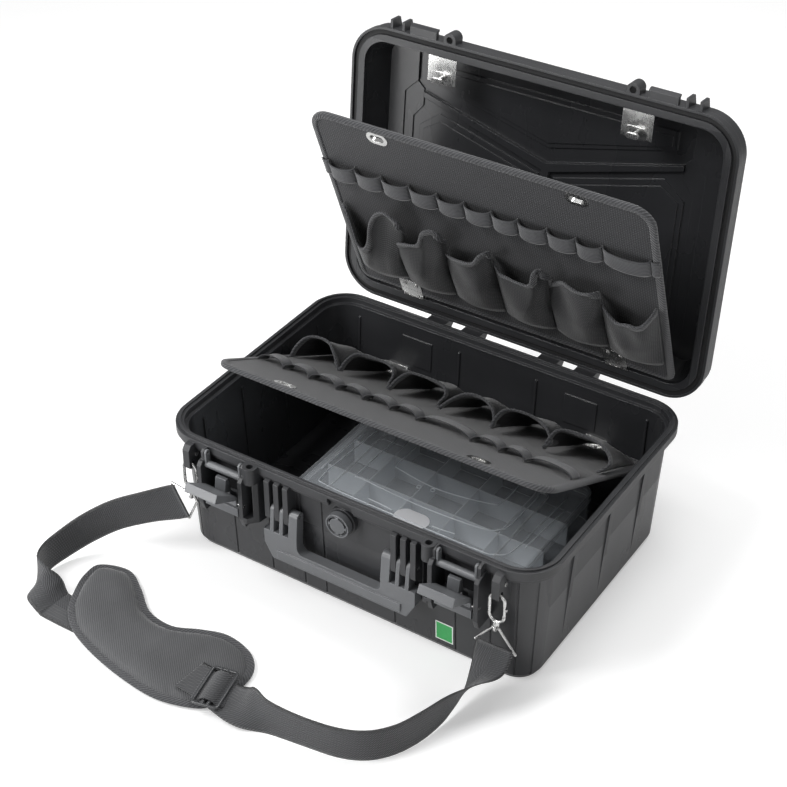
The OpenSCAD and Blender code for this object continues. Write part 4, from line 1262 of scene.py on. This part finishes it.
    def _pocket_bank(self) -> None:
        """Sew the pockets to the board and bind their mouths."""
        cloths, tapes, threads = [], [], []
        for number, pocket in enumerate(self.pockets):
            mouth = pocket.line()
            rows, coords = [], []
            for i in range(POCKET_ROWS + 1):
                down = i / POCKET_ROWS
                row = [self._surface(pocket, mouth, j, down) for j in range(MOUTH_STEPS + 1)]
                rows.append(row)
                coords.append([(run + number * 0.1, row[0].y) for run in measured(row)])
            cloths.append(Sheet(rows, coords).mesh("pocket"))
            tapes.append(self._mouth_tape(pocket, mouth))
            for j in (0, MOUTH_STEPS):
                seam = [
                    self._surface(pocket, mouth, j, 0.12 + 0.88 * k / POCKET_SEAM_STEPS)
                    + UP * 0.0009 for k in range(POCKET_SEAM_STEPS + 1)
                ]
                threads.append(stitches("seam", seam, [UP] * len(seam)))
        cloth = joined(f"{self.name}_pocket_mesh", cloths)
        Piece(self.body, POCKET_CLOTH).add(
            f"{self.name}_sewn_pockets", cloth, [f"{self.name}_pockets"], self.place,
            thickness=self.cloth, shaded_inside=POCKET_SHADE,
        )
        tape = joined(f"{self.name}_mouth_mesh", tapes)
        Piece(self.body, TAPE).add(f"{self.name}_pocket_tape", tape, (), self.place)
        rows_of_thread = joined(f"{self.name}_pocket_threads", threads)
        Piece(self.body, THREAD).add(
            f"{self.name}_pocket_stitches", rows_of_thread, (), self.place
        )

    def _mouth_tape(self, pocket: Pocket, path: Sequence[Vector]) -> bpy.types.Mesh:
        """Return the tape folded over a pocket's mouth.

        Args:
            pocket: The pocket.
            path: The line of its mouth.

        Returns:
            The mesh of the tape.
        """
        edge = [self._surface(pocket, path, j, 0.0) for j in range(MOUTH_STEPS + 1)]
        down = [self._surface(pocket, path, j, 0.06) for j in range(MOUTH_STEPS + 1)]
        sides, ups = [], []
        for i, (p, d) in enumerate(zip(edge, down)):
            along = heading(edge, i).normalized()
            side = d - p
            side = (side - along * side.dot(along)).normalized()
            sides.append(side)
            ups.append(along.cross(side).normalized())
        profile = [
            (0.0085, -0.0014), (0.0010, -0.0018), (-0.0008, -0.0013), (-0.0014, 0.0),
            (-0.0008, 0.0013), (0.0010, 0.0018), (0.0085, 0.0014),
        ]
        return swept("mouth", edge, sides, ups, profile)


# ---------------------------------------------------------------------------
# Shoulder strap
# ---------------------------------------------------------------------------


@dataclass
class Route:
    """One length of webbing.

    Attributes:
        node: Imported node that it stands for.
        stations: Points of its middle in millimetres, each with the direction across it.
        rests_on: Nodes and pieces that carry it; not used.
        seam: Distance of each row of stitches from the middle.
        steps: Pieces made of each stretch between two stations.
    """

    name: str
    node: str
    stations: Sequence[tuple[Point, Point]]
    rests_on: Sequence[str]
    body: str = "case"
    width: float = 0.050
    thick: float = 0.0018
    seam: float = 0.0215
    steps: int = 14

    def build(self) -> None:
        centres = [[c * MM for c in centre] for centre, _ in self.stations]
        line = smooth_path(centres, self.steps)
        across = smooth_path([way for _, way in self.stations], self.steps)
        sides, ups = [], []
        for i, way in enumerate(across):
            along = heading(line, i).normalized()
            up = along.cross(way).normalized()
            sides.append(up.cross(along).normalized())
            ups.append(up)
        w, t = self.width / 2, self.thick / 2
        ridges = [(w * k / 6, t) for k in range(5, -6, -1)]
        profile = [(w, 0.0), *ridges, (-w, 0.0), *[(u, -v) for u, v in reversed(ridges)]]
        mesh = swept(self.name, line, sides, ups, profile)
        for corner in mesh.uv_layers[0].data:
            u = corner.uv[0]
            corner.uv[0] = (self.width - u if u > self.width else u) - self.width / 2
        length = measured(line)[-1]
        LOG.info("%s is %.3f m long", self.name, length)
        made = Piece(self.body, WEBBING).add(self.name, mesh, [self.node])
        edge_rows = []
        for shift in (-self.seam, self.seam):
            row = [p + s * shift + n * t for p, s, n in zip(line, sides, ups)]
            edge_rows.append(stitches("row", row, ups, length=0.003, gap=0.003, thick=0.0005))
        thread = joined(f"{self.name}_threads", edge_rows)
        Piece(self.body, THREAD).add(f"{self.name}_stitches", thread)


@dataclass
class ShoulderPad:
    """The stuffed, bound pad that the webbing runs under.

    Attributes:
        outline: Its outline on the floor, in millimetres.
        low: Height of its underside.
        band: Width of the binding.
        lap: How far the binding laps over on each side of its band.
        tape: Half of the binding's thickness.
        crown: Extra height in the middle of the free end.
        shoulder: Width over which the body rises from the binding.
        free_end: Where, along the case, the free end begins.
        free_run: Length over which the crown grows to its full height.
        voxel: Mesh size of the swollen body.
        pressure: Pressure of the stuffing in the cloth simulation.
        swell: The most that a point of the body may move.
        frames: Length of the simulation.
    """

    outline: Sequence[tuple[float, float]]
    low: float = 0.0026
    thick: float = 0.0105
    band: float = 0.0085
    lap: float = 0.0012
    tape: float = 0.002
    crown: float = 0.0058
    shoulder: float = 0.028
    free_end: float = -0.1
    free_run: float = 0.05
    voxel: float = 0.0045
    pressure: float = 4.0
    swell: float = 0.006
    frames: int = 20

    def build(self) -> None:
        """Swell the pad, bind its edge and stitch the binding down."""
        ring = smooth_path([(x * MM, y * MM, 0.0) for x, y in self.outline], 6, closed=True)
        body = self._swollen(ring)
        self._crowned(body, ring)
        made = Piece("case", PAD_CLOTH).add("shoulder_pad", body, ["strap_pad"], levels=1)
        self._edge(ring)

    def _swollen(self, ring: Sequence[Vector]) -> bpy.types.Mesh:
        """Swell the pad's body by a short cloth simulation.

        Args:
            ring: The outline of the pad.

        Returns:
            The mesh of the body.
        """
        inner = self._inset(ring, 0.0)
        work = bmesh.new()
        floor = [work.verts.new((p.x, p.y, self.low + self.thick * 0.22)) for p in inner]
        face = work.faces.new(floor)
        grown = bmesh.ops.extrude_face_region(work, geom=[face])
        for vert in (g for g in grown["geom"] if isinstance(g, bmesh.types.BMVert)):
            vert.co.z = self.low + self.thick * 0.72
        bmesh.ops.recalc_face_normals(work, faces=work.faces[:])
        mesh = bpy.data.meshes.new("pad_body")
        work.to_mesh(mesh)
        work.free()
        made = placed("pad_work", mesh)
        remesh = made.modifiers.new("even", "REMESH")
        remesh.mode, remesh.voxel_size = "VOXEL", self.voxel
        mesh = self._applied(made)
        made.modifiers.clear()
        made.data = mesh
        cloth = made.modifiers.new("swell", "CLOTH")
        cloth.settings.use_pressure = True
        cloth.settings.uniform_pressure_force = self.pressure
        cloth.settings.effector_weights.gravity = 0.0
        for frame in range(1, self.frames + 1):
            bpy.context.scene.frame_set(frame)
        before = [v.co.copy() for v in mesh.vertices]
        swollen = self._applied(made)
        for old, vert in zip(before, swollen.vertices):
            move = vert.co - old
            vert.co = old + move * min(1.0, self.swell / max(move.length, TINY))
        mesh = swollen
        bpy.context.scene.frame_set(1)
        bpy.data.objects.remove(made)
        top = self.low + self.thick
        for vert in mesh.vertices:
            vert.co.z = min(max(vert.co.z, self.low + 0.0002), top - 0.0002)
        return smoothed(mesh)

    @staticmethod
    def _applied(thing: bpy.types.Object) -> bpy.types.Mesh:
        """Return a copy of a piece's mesh with its modifiers applied."""
        graph = bpy.context.evaluated_depsgraph_get()
        return bpy.data.meshes.new_from_object(thing.evaluated_get(graph))

    @staticmethod
    def _inset(ring: Sequence[Vector], amount: float) -> list[Vector]:
        """Draw the ring in.

        Args:
            ring: The outline of the pad.
            amount: How far it is drawn in.

        Returns:
            The points of the smaller ring.
        """
        sides, _ = ring_frames(ring, UP)
        middle = sum(ring, Vector()) / len(ring)
        inward = 1.0 if sides[0].dot(middle - ring[0]) > 0 else -1.0
        return [p + s * amount * inward for p, s in zip(ring, sides)]

    def _crowned(self, body: bpy.types.Mesh, ring: Sequence[Vector]) -> None:
        """Thin the pad toward its binding and raise its free end.

        Args:
            body: The swollen body.
            ring: The outline of the pad.
        """
        tree = KDTree(len(ring))
        for i, point in enumerate(ring):
            tree.insert(point, i)
        tree.balance()
        for vert in body.vertices:
            x, y, z = vert.co
            depth = tree.find((x, y, 0.0))[2] - self.band
            bow = min(max(depth / self.shoulder, 0.0), 1.0)
            dome = math.sqrt(1.0 - (1.0 - bow) ** 2)
            free = min(max((self.free_end - x) / self.free_run, 0.0), 1.0)
            high = (self.thick + self.crown * free) * (0.2 + 0.8 * dome)
            vert.co.z = self.low + (z - self.low) / self.thick * high

    def _edge(self, ring: Sequence[Vector]) -> None:
        """Bind the rim of the pad with a flat tape and stitch it down.

        Args:
            ring: The outline of the pad.
        """
        middle = UP * (self.low + 0.0024)
        half, tape = self.band / 2 + self.lap, self.tape
        path = [p + middle for p in self._inset(ring, half)]
        sides, ups = ring_frames(path, UP)
        profile = [
            (half, 0.0), (half - 0.0006, 0.0014), (half * 0.6, tape), (-half * 0.6, tape),
            (0.0006 - half, 0.0014), (-half, 0.0), (0.0006 - half, -0.0014),
            (-half * 0.6, -tape), (half * 0.6, -tape), (half - 0.0006, -0.0014),
        ]
        mesh = swept("pad_edge", path, sides, ups, profile, closed=True)
        Piece("case", TAPE).add("shoulder_pad_binding", mesh)
        seam = [p + middle + UP * tape for p in self._inset(ring, self.band * 0.75)]
        Piece("case", THREAD).add("shoulder_pad_stitches", stitches("pad_seam", seam, ups))


@dataclass(frozen=True)
class StrapSlider:
    """The slider with its two bars, and the fold of webbing that it carries.

    Attributes:
        turn: Degrees that it lies turned on the floor.
        rod: Half of the frame's thickness.
        corner: Corner radius of the frame.
        bar_at: Distance of each bar from the middle.
    """

    centre: Point = (-0.046, -0.3954, 0.0187)
    turn: float = 12.0
    width: float = 0.037
    length: float = 0.066
    rod: float = 0.0022
    corner: float = 0.004
    bar_at: float = 0.0038

    def build(self) -> None:
        """Bend the frame, lay its bars and thread the webbing over them."""
        place = Matrix.Translation(self.centre) @ Matrix.Rotation(math.radians(self.turn), 4, "Z")
        half_x, half_y = self.width / 2 - self.rod, self.length / 2 - self.rod
        ring = self._rim(half_x, half_y, self.corner)
        section = oval(self.rod, self.rod * 0.8)
        pieces = [swept("slider_rim", ring, *ring_frames(ring, UP), section, closed=True)]
        for x in (-self.bar_at, self.bar_at):
            bar = [Vector((x, half_y * k / 6, 0.0)) for k in range(-6, 7)]
            pieces.append(swept("slider_bar", bar, *line_frames(bar, UP), section))
        frame = smoothed(joined("slider_frame", pieces))
        Piece("slider", SLIDER_PLASTIC).add("slider_frame", frame, ["strap_slider"], place)
        fold = smooth_path(
            [(-0.021, 0.0, -0.0030), (-0.0125, 0.0, -0.0024), (-0.0085, 0.0, 0.0010),
             (-0.0045, 0.0, 0.0034), (0.0, 0.0, 0.0041), (0.0045, 0.0, 0.0034),
             (0.0085, 0.0, 0.0010), (0.0125, 0.0, -0.0024), (0.021, 0.0, -0.0030)], 5,
        )
        across = [Vector((0.0, 1.0, 0.0)) for _ in fold]
        rises = [heading(fold, i).cross(way).normalized() for i, way in enumerate(across)]
        mesh = swept("slider_fold", fold, across, rises, oval(0.0245, 0.0009, 20))
        Piece("slider", WEBBING).add("slider_fold", mesh, place=place)

    @staticmethod
    def _rim(half_x: float, half_y: float, radius: float) -> list[Vector]:
        """Draw the rounded rectangle of the frame.

        Args:
            half_x: Half of its width.
            half_y: Half of its length.
            radius: Corner radius.

        Returns:
            The points of its middle line, counterclockwise.
        """
        quarters = (
            (half_x - radius, half_y - radius, 0.0), (radius - half_x, half_y - radius, 90.0),
            (radius - half_x, radius - half_y, 180.0), (half_x - radius, radius - half_y, 270.0),
        )
        ring = []
        for x, y, start in quarters:
            for k in range(6):
                a = math.radians(start + 18.0 * k)
                ring.append(Vector((x + radius * math.cos(a), y + radius * math.sin(a), 0.0)))
        return ring


@dataclass(frozen=True)
class OrganizerRelief:
    """The low beads that stiffen the organizer's clear lid.

    Attributes:
        lines: Points of each bead, in millimetres.
        rings: Middle of each small ring.
        ring: Radius of the rings.
        level: Height of the lid's top.
        bead: Half of a bead's width.
    """

    lines: Sequence[Sequence[tuple[float, float]]]
    rings: Sequence[tuple[float, float]] = ((-0.019, 0.014), (0.0, 0.018))
    ring: float = 0.003
    level: float = 0.0586
    bead: float = 0.0008

    def build(self) -> None:
        """Raise every bead on top of the lid."""
        turns = [math.tau * k / 16 for k in range(16)]
        section = oval(self.bead, self.bead, 8)
        pieces = []
        for points in self.lines:
            path = smooth_path([(x * MM, y * MM, self.level) for x, y in points], 6)
            pieces.append(swept("bead", path, *line_frames(path, UP), section))
        for x, y in self.rings:
            ring = [
                Vector((x + self.ring * math.cos(a), y + self.ring * math.sin(a), self.level))
                for a in turns
            ]
            pieces.append(swept("ring", ring, *ring_frames(ring, UP), section, closed=True))
        beads = smoothed(joined("organizer_beads", pieces))
        Piece("organizer_cover", RELIEF_CLEAR).add("organizer_beads", beads)


# ---------------------------------------------------------------------------
# Camera, light and floor
# ---------------------------------------------------------------------------


@dataclass(frozen=True)
class Lamp:
    """A broad round lamp that faces its target."""

    name: str
    eye: Point
    target: Point
    size: float
    power: float

    def hang(self) -> None:
        """Put the lamp into the scene."""
        data = bpy.data.lights.new(self.name, "AREA")
        data.shape, data.size, data.energy = "DISK", self.size, self.power
        lamp = placed(self.name, data)
        way = Vector(self.target) - Vector(self.eye)
        lamp.rotation_mode = "QUATERNION"
        lamp.rotation_quaternion = way.to_track_quat("-Z", "Y")
        lamp.location = self.eye


@dataclass(frozen=True)
class Studio:
    """The camera, the lamps and the pale floor.

    Attributes:
        ambient: Strength of the even light from all around.
        floor_glow: Light added to the floor where the camera sees it.
        floor_reach: Distance from the middle to each edge of the floor.
        floor_level: Height of the floor, just under the case.
    """

    eye: Point = (0.9281, -1.5064, 1.5059)
    right: Point = (0.8386, 0.5447, 0.0)
    forward: Point = (-0.4415, 0.6797, -0.5858)
    lens: float = 79.23
    sensor: float = 36.0
    near: float = 0.05
    far: float = 50.0
    ambient: float = 0.29
    floor_colour: Colour = (0.82, 0.82, 0.82)
    floor_glow: float = 0.32
    floor_reach: float = 2.0
    floor_level: float = -0.0003
    lamps: Sequence[Lamp] = (
        Lamp("key", (-1.3, -1.6, 2.4), (0.0, 0.0, 0.15), 1.3, 52.0),
        Lamp("low", (-0.75, -1.25, 0.34), (0.0, 0.2, 0.5), 0.7, 9.0),
        Lamp("fill", (2.3, -0.8, 1.5), (0.1, 0.0, 0.2), 1.4, 8.0),
        Lamp("top", (0.2, 0.9, 2.7), (0.0, 0.05, 0.2), 1.5, 42.0),
    )

    def build(self) -> None:
        """Set the whole stage."""
        self._camera()
        self._world()
        for lamp in self.lamps:
            lamp.hang()
        self._floor()

    def _camera(self) -> None:
        """Make the camera and set it as the scene's."""
        data = bpy.data.cameras.new("camera")
        data.lens, data.sensor_width = self.lens, self.sensor
        data.clip_start, data.clip_end = self.near, self.far
        camera = placed("camera", data)
        back = -Vector(self.forward).normalized()
        right = Vector(self.right).normalized()
        up = back.cross(right).normalized()
        turn = Matrix((right, up, back)).transposed().to_4x4()
        camera.matrix_world = Matrix.Translation(self.eye) @ turn
        bpy.context.scene.camera = camera

    def _world(self) -> None:
        """Light everything softly, and show white behind the case."""
        world = bpy.data.worlds.new("studio")
        bpy.context.scene.world = world
        graph = Graph(world)
        rays = graph.node("LightPath").outputs
        seen = graph.node(
            "Math", {"operation": "ADD", "use_clamp": True},
            {0: rays["Is Camera Ray"], 1: rays["Is Transmission Ray"]},
        )
        level = graph.node("Mix", None, {0: seen.outputs[0], 2: self.ambient, 3: 1.0})
        glow = graph.node("Background", None, {"Color": WHITE, "Strength": level.outputs[0]})
        graph.node("OutputWorld", None, {"Surface": glow.outputs[0]})

    def _floor(self) -> None:
        """Lay a wide pale floor that keeps the case's shadow."""
        graph = Graph(bpy.data.materials.new("floor_paint"))
        plain = graph.node("BsdfDiffuse", None, {"Color": self.floor_colour})
        rays = graph.node("LightPath").outputs
        shown = Signal(graph, rays["Is Camera Ray"]) * self.floor_glow
        glow = graph.node("Emission", None, {"Color": WHITE, "Strength": shown})
        both = graph.node("AddShader", None, {0: plain.outputs[0], 1: glow.outputs[0]})
        graph.node("OutputMaterial", None, {"Surface": both.outputs[0]})
        mesh = bpy.data.meshes.new("floor")
        reach = self.floor_reach
        corners = [(-reach, -reach, 0), (reach, -reach, 0), (reach, reach, 0), (-reach, reach, 0)]
        mesh.from_pydata(corners, [], [(0, 1, 2, 3)])
        mesh.materials.append(graph.owner)
        floor = placed("floor", mesh)
        floor.location.z = self.floor_level
        floor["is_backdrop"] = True


# ---------------------------------------------------------------------------
# The whole case
# ---------------------------------------------------------------------------


PITCH = 76.7
POCKET_EDGE = 230.0

# Mouths of the lid's pockets: across the panel, from its free edge, above the board
LID_MOUTHS: Sequence[Sequence[Point]] = (
    ((231, 172, 2), (222, 174, 10), (212, 197, 19), (205, 219, 26), (195, 222, 29), (183, 204, 29),
     (171, 166, 29), (158, 140, 28), (143, 128, 27), (129, 132, 28), (121, 146, 24),
     (130, 171, 14), (154, 196, 6)),
    ((153, 196, 6), (146, 199, 16), (120, 182, 27), (96, 168, 31), (84, 141, 31), (73, 132, 29),
     (61, 137, 25), (64, 162, 14), (77, 190, 6)),
    ((76, 190, 6), (60, 189, 18), (34, 177, 28), (13, 167, 32), (-1, 147, 31), (-9, 148, 20),
     (0, 172, 6)),
    ((0, 172, 6), (-14, 188, 17), (-33, 184, 25), (-52, 178, 31), (-70, 172, 33), (-77, 150, 31),
     (-82, 145, 25), (-87, 157, 18), (-83, 178, 11), (-77, 194, 6)),
    ((-77, 194, 6), (-98, 177, 12), (-113, 163, 19), (-139, 157, 30), (-158, 149, 32),
     (-163, 156, 21), (-154, 178, 6)),
    ((-154, 178, 6), (-165, 191, 17), (-186, 196, 29), (-206, 186, 33), (-220, 186, 32),
     (-228, 180, 26), (-232, 176, 13), (-231, 178, 2)),
)
# The base's pockets stand open like boxes
BASE_MOUTHS: Sequence[Sequence[Point]] = (
    ((-231, 168, 2), (-229, 172, 16), (-222, 180, 30), (-208, 186, 35), (-190, 186, 34),
     (-178, 180, 27), (-167, 174, 18), (-160, 169, 11), (-154, 168, 7)),
    ((-153, 168, 7), (-151, 171, 18), (-145, 178, 30), (-134, 184, 35), (-104, 186, 35),
     (-86, 182, 32), (-79, 177, 23), (-79, 171, 14), (-77, 168, 7)),
    ((-76, 168, 7), (-71, 172, 20), (-62, 179, 32), (-50, 184, 35), (-18, 186, 35),
     (-4, 182, 31), (1, 176, 22), (-2, 170, 13), (0, 168, 7)),
    ((1, 168, 7), (11, 174, 21), (23, 181, 32), (38, 186, 36), (55, 184, 34), (69, 179, 27),
     (77, 173, 18), (79, 169, 11), (77, 168, 7)),
    ((78, 168, 7), (79, 172, 20), (84, 179, 31), (96, 186, 35), (121, 190, 35), (138, 186, 32),
     (151, 180, 24), (158, 173, 15), (153, 168, 7)),
    ((154, 168, 7), (156, 172, 19), (161, 179, 31), (176, 186, 35), (208, 190, 34),
     (229, 185, 27), (240, 177, 17), (238, 170, 9), (231, 168, 2)),
)


def pockets(mouths: Sequence[Sequence[Point]], turned: bool) -> list[Pocket]:
    """Return a bank of pockets.

    Args:
        mouths: The mouth of each pocket.
        turned: Whether they run from the right to the left, as on a panel hung upside down.

    Returns:
        The pockets, each with its bottom seam between two stitched lines.
    """
    bank = []
    for i, mouth in enumerate(mouths):
        ends = (-POCKET_EDGE + PITCH * i, -POCKET_EDGE + PITCH * (i + 1))
        if turned:
            bank.append(Pocket(mouth[::-1], -ends[1], -ends[0]))
        else:
            bank.append(Pocket(mouth, *ends))
    return bank


def lid_panel() -> ToolPanel:
    """Describe the lid's tool panel.

    Returns:
        The panel, with its seams and pockets mirrored because it is drawn turned over.
    """
    seams = [-241, -231, -191, -150, -108, -67, -27, 13, 50, 91, 131, 167, 231, 241]
    pairs = [(-b * MM, -a * MM) for a, b in zip(seams, seams[1:])][::-1]
    bank = pockets(LID_MOUTHS, turned=True)
    return ToolPanel("lid_panel", "lid_panel", CaseSizes.lid_panel(), bank, pairs)


def base_panel() -> ToolPanel:
    """Describe the base's tool panel.

    Returns:
        The panel, with its seams and pockets as they lie.
    """
    seams = [-231, -191, -150, -108, -67, -27, 13, 91, 131, 167, 231]
    pairs = [(a * MM, b * MM) for a, b in zip(seams, seams[1:])]
    bank = pockets(BASE_MOUTHS, turned=False)
    return ToolPanel("base_panel", "base_panel", CaseSizes.base_panel(), bank, pairs)


RIGHT_STRAP = Route(
    "webbing_right", "strap_webbing_right",
    [
        ((224.5, -207.9, 79), (1, 0, 0)), ((224.5, -207.9, 70), (1, 0, 0)),
        ((222, -220, 49), (0.9, 0, 0.35)), ((214, -250, 34), (0.5, 0, 0.85)),
        ((205, -285, 27), (0.12, 0, 1)), ((196, -320, 25.4), (0, 0, 1)),
        ((182, -354, 25.4), (0, 0, 1)), ((160, -379, 25.4), (0, 0, 1)),
        ((128, -394, 25.4), (0, 0, 1)), ((80, -402, 25.6), (0, 0, 1)),
        ((38, -405, 25.4), (0, 0.15, 1)), ((14, -404, 23.5), (0, 0.6, 0.8)),
        ((-8, -402, 17.5), (0, 0.94, 0.33)), ((-30, -399, 14.8), (0, 1, 0.04)),
        ((-58, -394, 14.5), (0, 1, 0)), ((-88, -391, 14.4), (0, 1, 0)),
    ],
    ["strap_ring_right", "shoulder_pad", "floor"],
)
LEFT_STRAP = Route(
    "webbing_left", "strap_webbing_left",
    [
        ((-240.9, -207.9, 87.4), (-0.47, 0, 0.88)), ((-250.9, -208.4, 82.3), (-0.45, 0, 0.89)),
        ((-282, -227, 73), (-0.1, 0, 1)), ((-317, -250, 60), (0, 0, 1)),
        ((-343, -276, 45), (0, 0, 1)), ((-360, -304, 32), (0, 0, 1)),
        ((-367, -332, 26), (0, 0, 1)), ((-361, -356, 25.5), (0, 0.1, 1)),
        ((-348, -369, 23.5), (0, 0.45, 0.89)), ((-334, -375, 15.5), (0, 0.83, 0.56)),
        ((-321, -378, 4), (0, 0.99, 0.1)), ((-313, -378.6, 1.45), (0, 1, 0.01)),
        ((-280, -379, 1.2), (0, 1, 0)), ((-240, -378, 1.2), (0, 1, 0)),
    ],
    ["strap_ring_left", "floor"],
)
PAD = ShoulderPad([
    (-320, -318), (-316, -292), (-276, -280), (-242, -298), (-205, -325), (-165, -331),
    (-130, -316), (-95, -306), (-55, -315), (-32, -338), (-28, -370), (-38, -408), (-56, -426),
    (-105, -439), (-165, -434), (-225, -420), (-268, -402), (-295, -378), (-312, -345),
])
RELIEF = OrganizerRelief([
    [(-134, 88), (-138, 25), (-140, -37), (-122, -50), (-5, -53), (111, -53), (133, -49),
     (149, -33), (154, 30), (157, 99)],
    [(-101, 86), (-102, -5), (-90, -13), (7, -19), (94, -14), (116, -2), (122, 14), (124, 88)],
    [(-68, 88), (-69, 39), (-59, 31), (7, 23), (78, 35), (90, 48), (91, 91)],
    [(-62, -43), (-42, -44), (-23, -46)],
    [(38, -45), (55, -44), (71, -42)],
    [(167, 76), (163, 30), (160, -16)],
    [(-145, 72), (-148, 24), (-150, -24)],
])


def corners() -> list[list[float]]:
    """Return the lowest and highest corner of the whole object as plain lists."""
    return [list(corner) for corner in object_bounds()]


def main() -> None:
    """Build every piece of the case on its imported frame."""
    logging.basicConfig(level=logging.INFO, format="%(message)s")
    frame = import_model()
    bpy.context.scene.view_settings.view_transform = "Standard"
    Studio().build()
    PackedPieces(frame["nodes"]).dress(frame["record"])
    steps: list[tuple[str, Callable[[], None]]] = [
        ("lid panel", lid_panel().build),
        ("base panel", base_panel().build),
        ("right webbing", RIGHT_STRAP.build),
        ("left webbing", LEFT_STRAP.build),
        ("shoulder pad", PAD.build),
        ("strap slider", StrapSlider().build),
        ("organizer relief", RELIEF.build),
    ]
    for name, step in steps:
        LOG.info("building the %s", name)
        step()


if __name__ == "__main__":
    main()
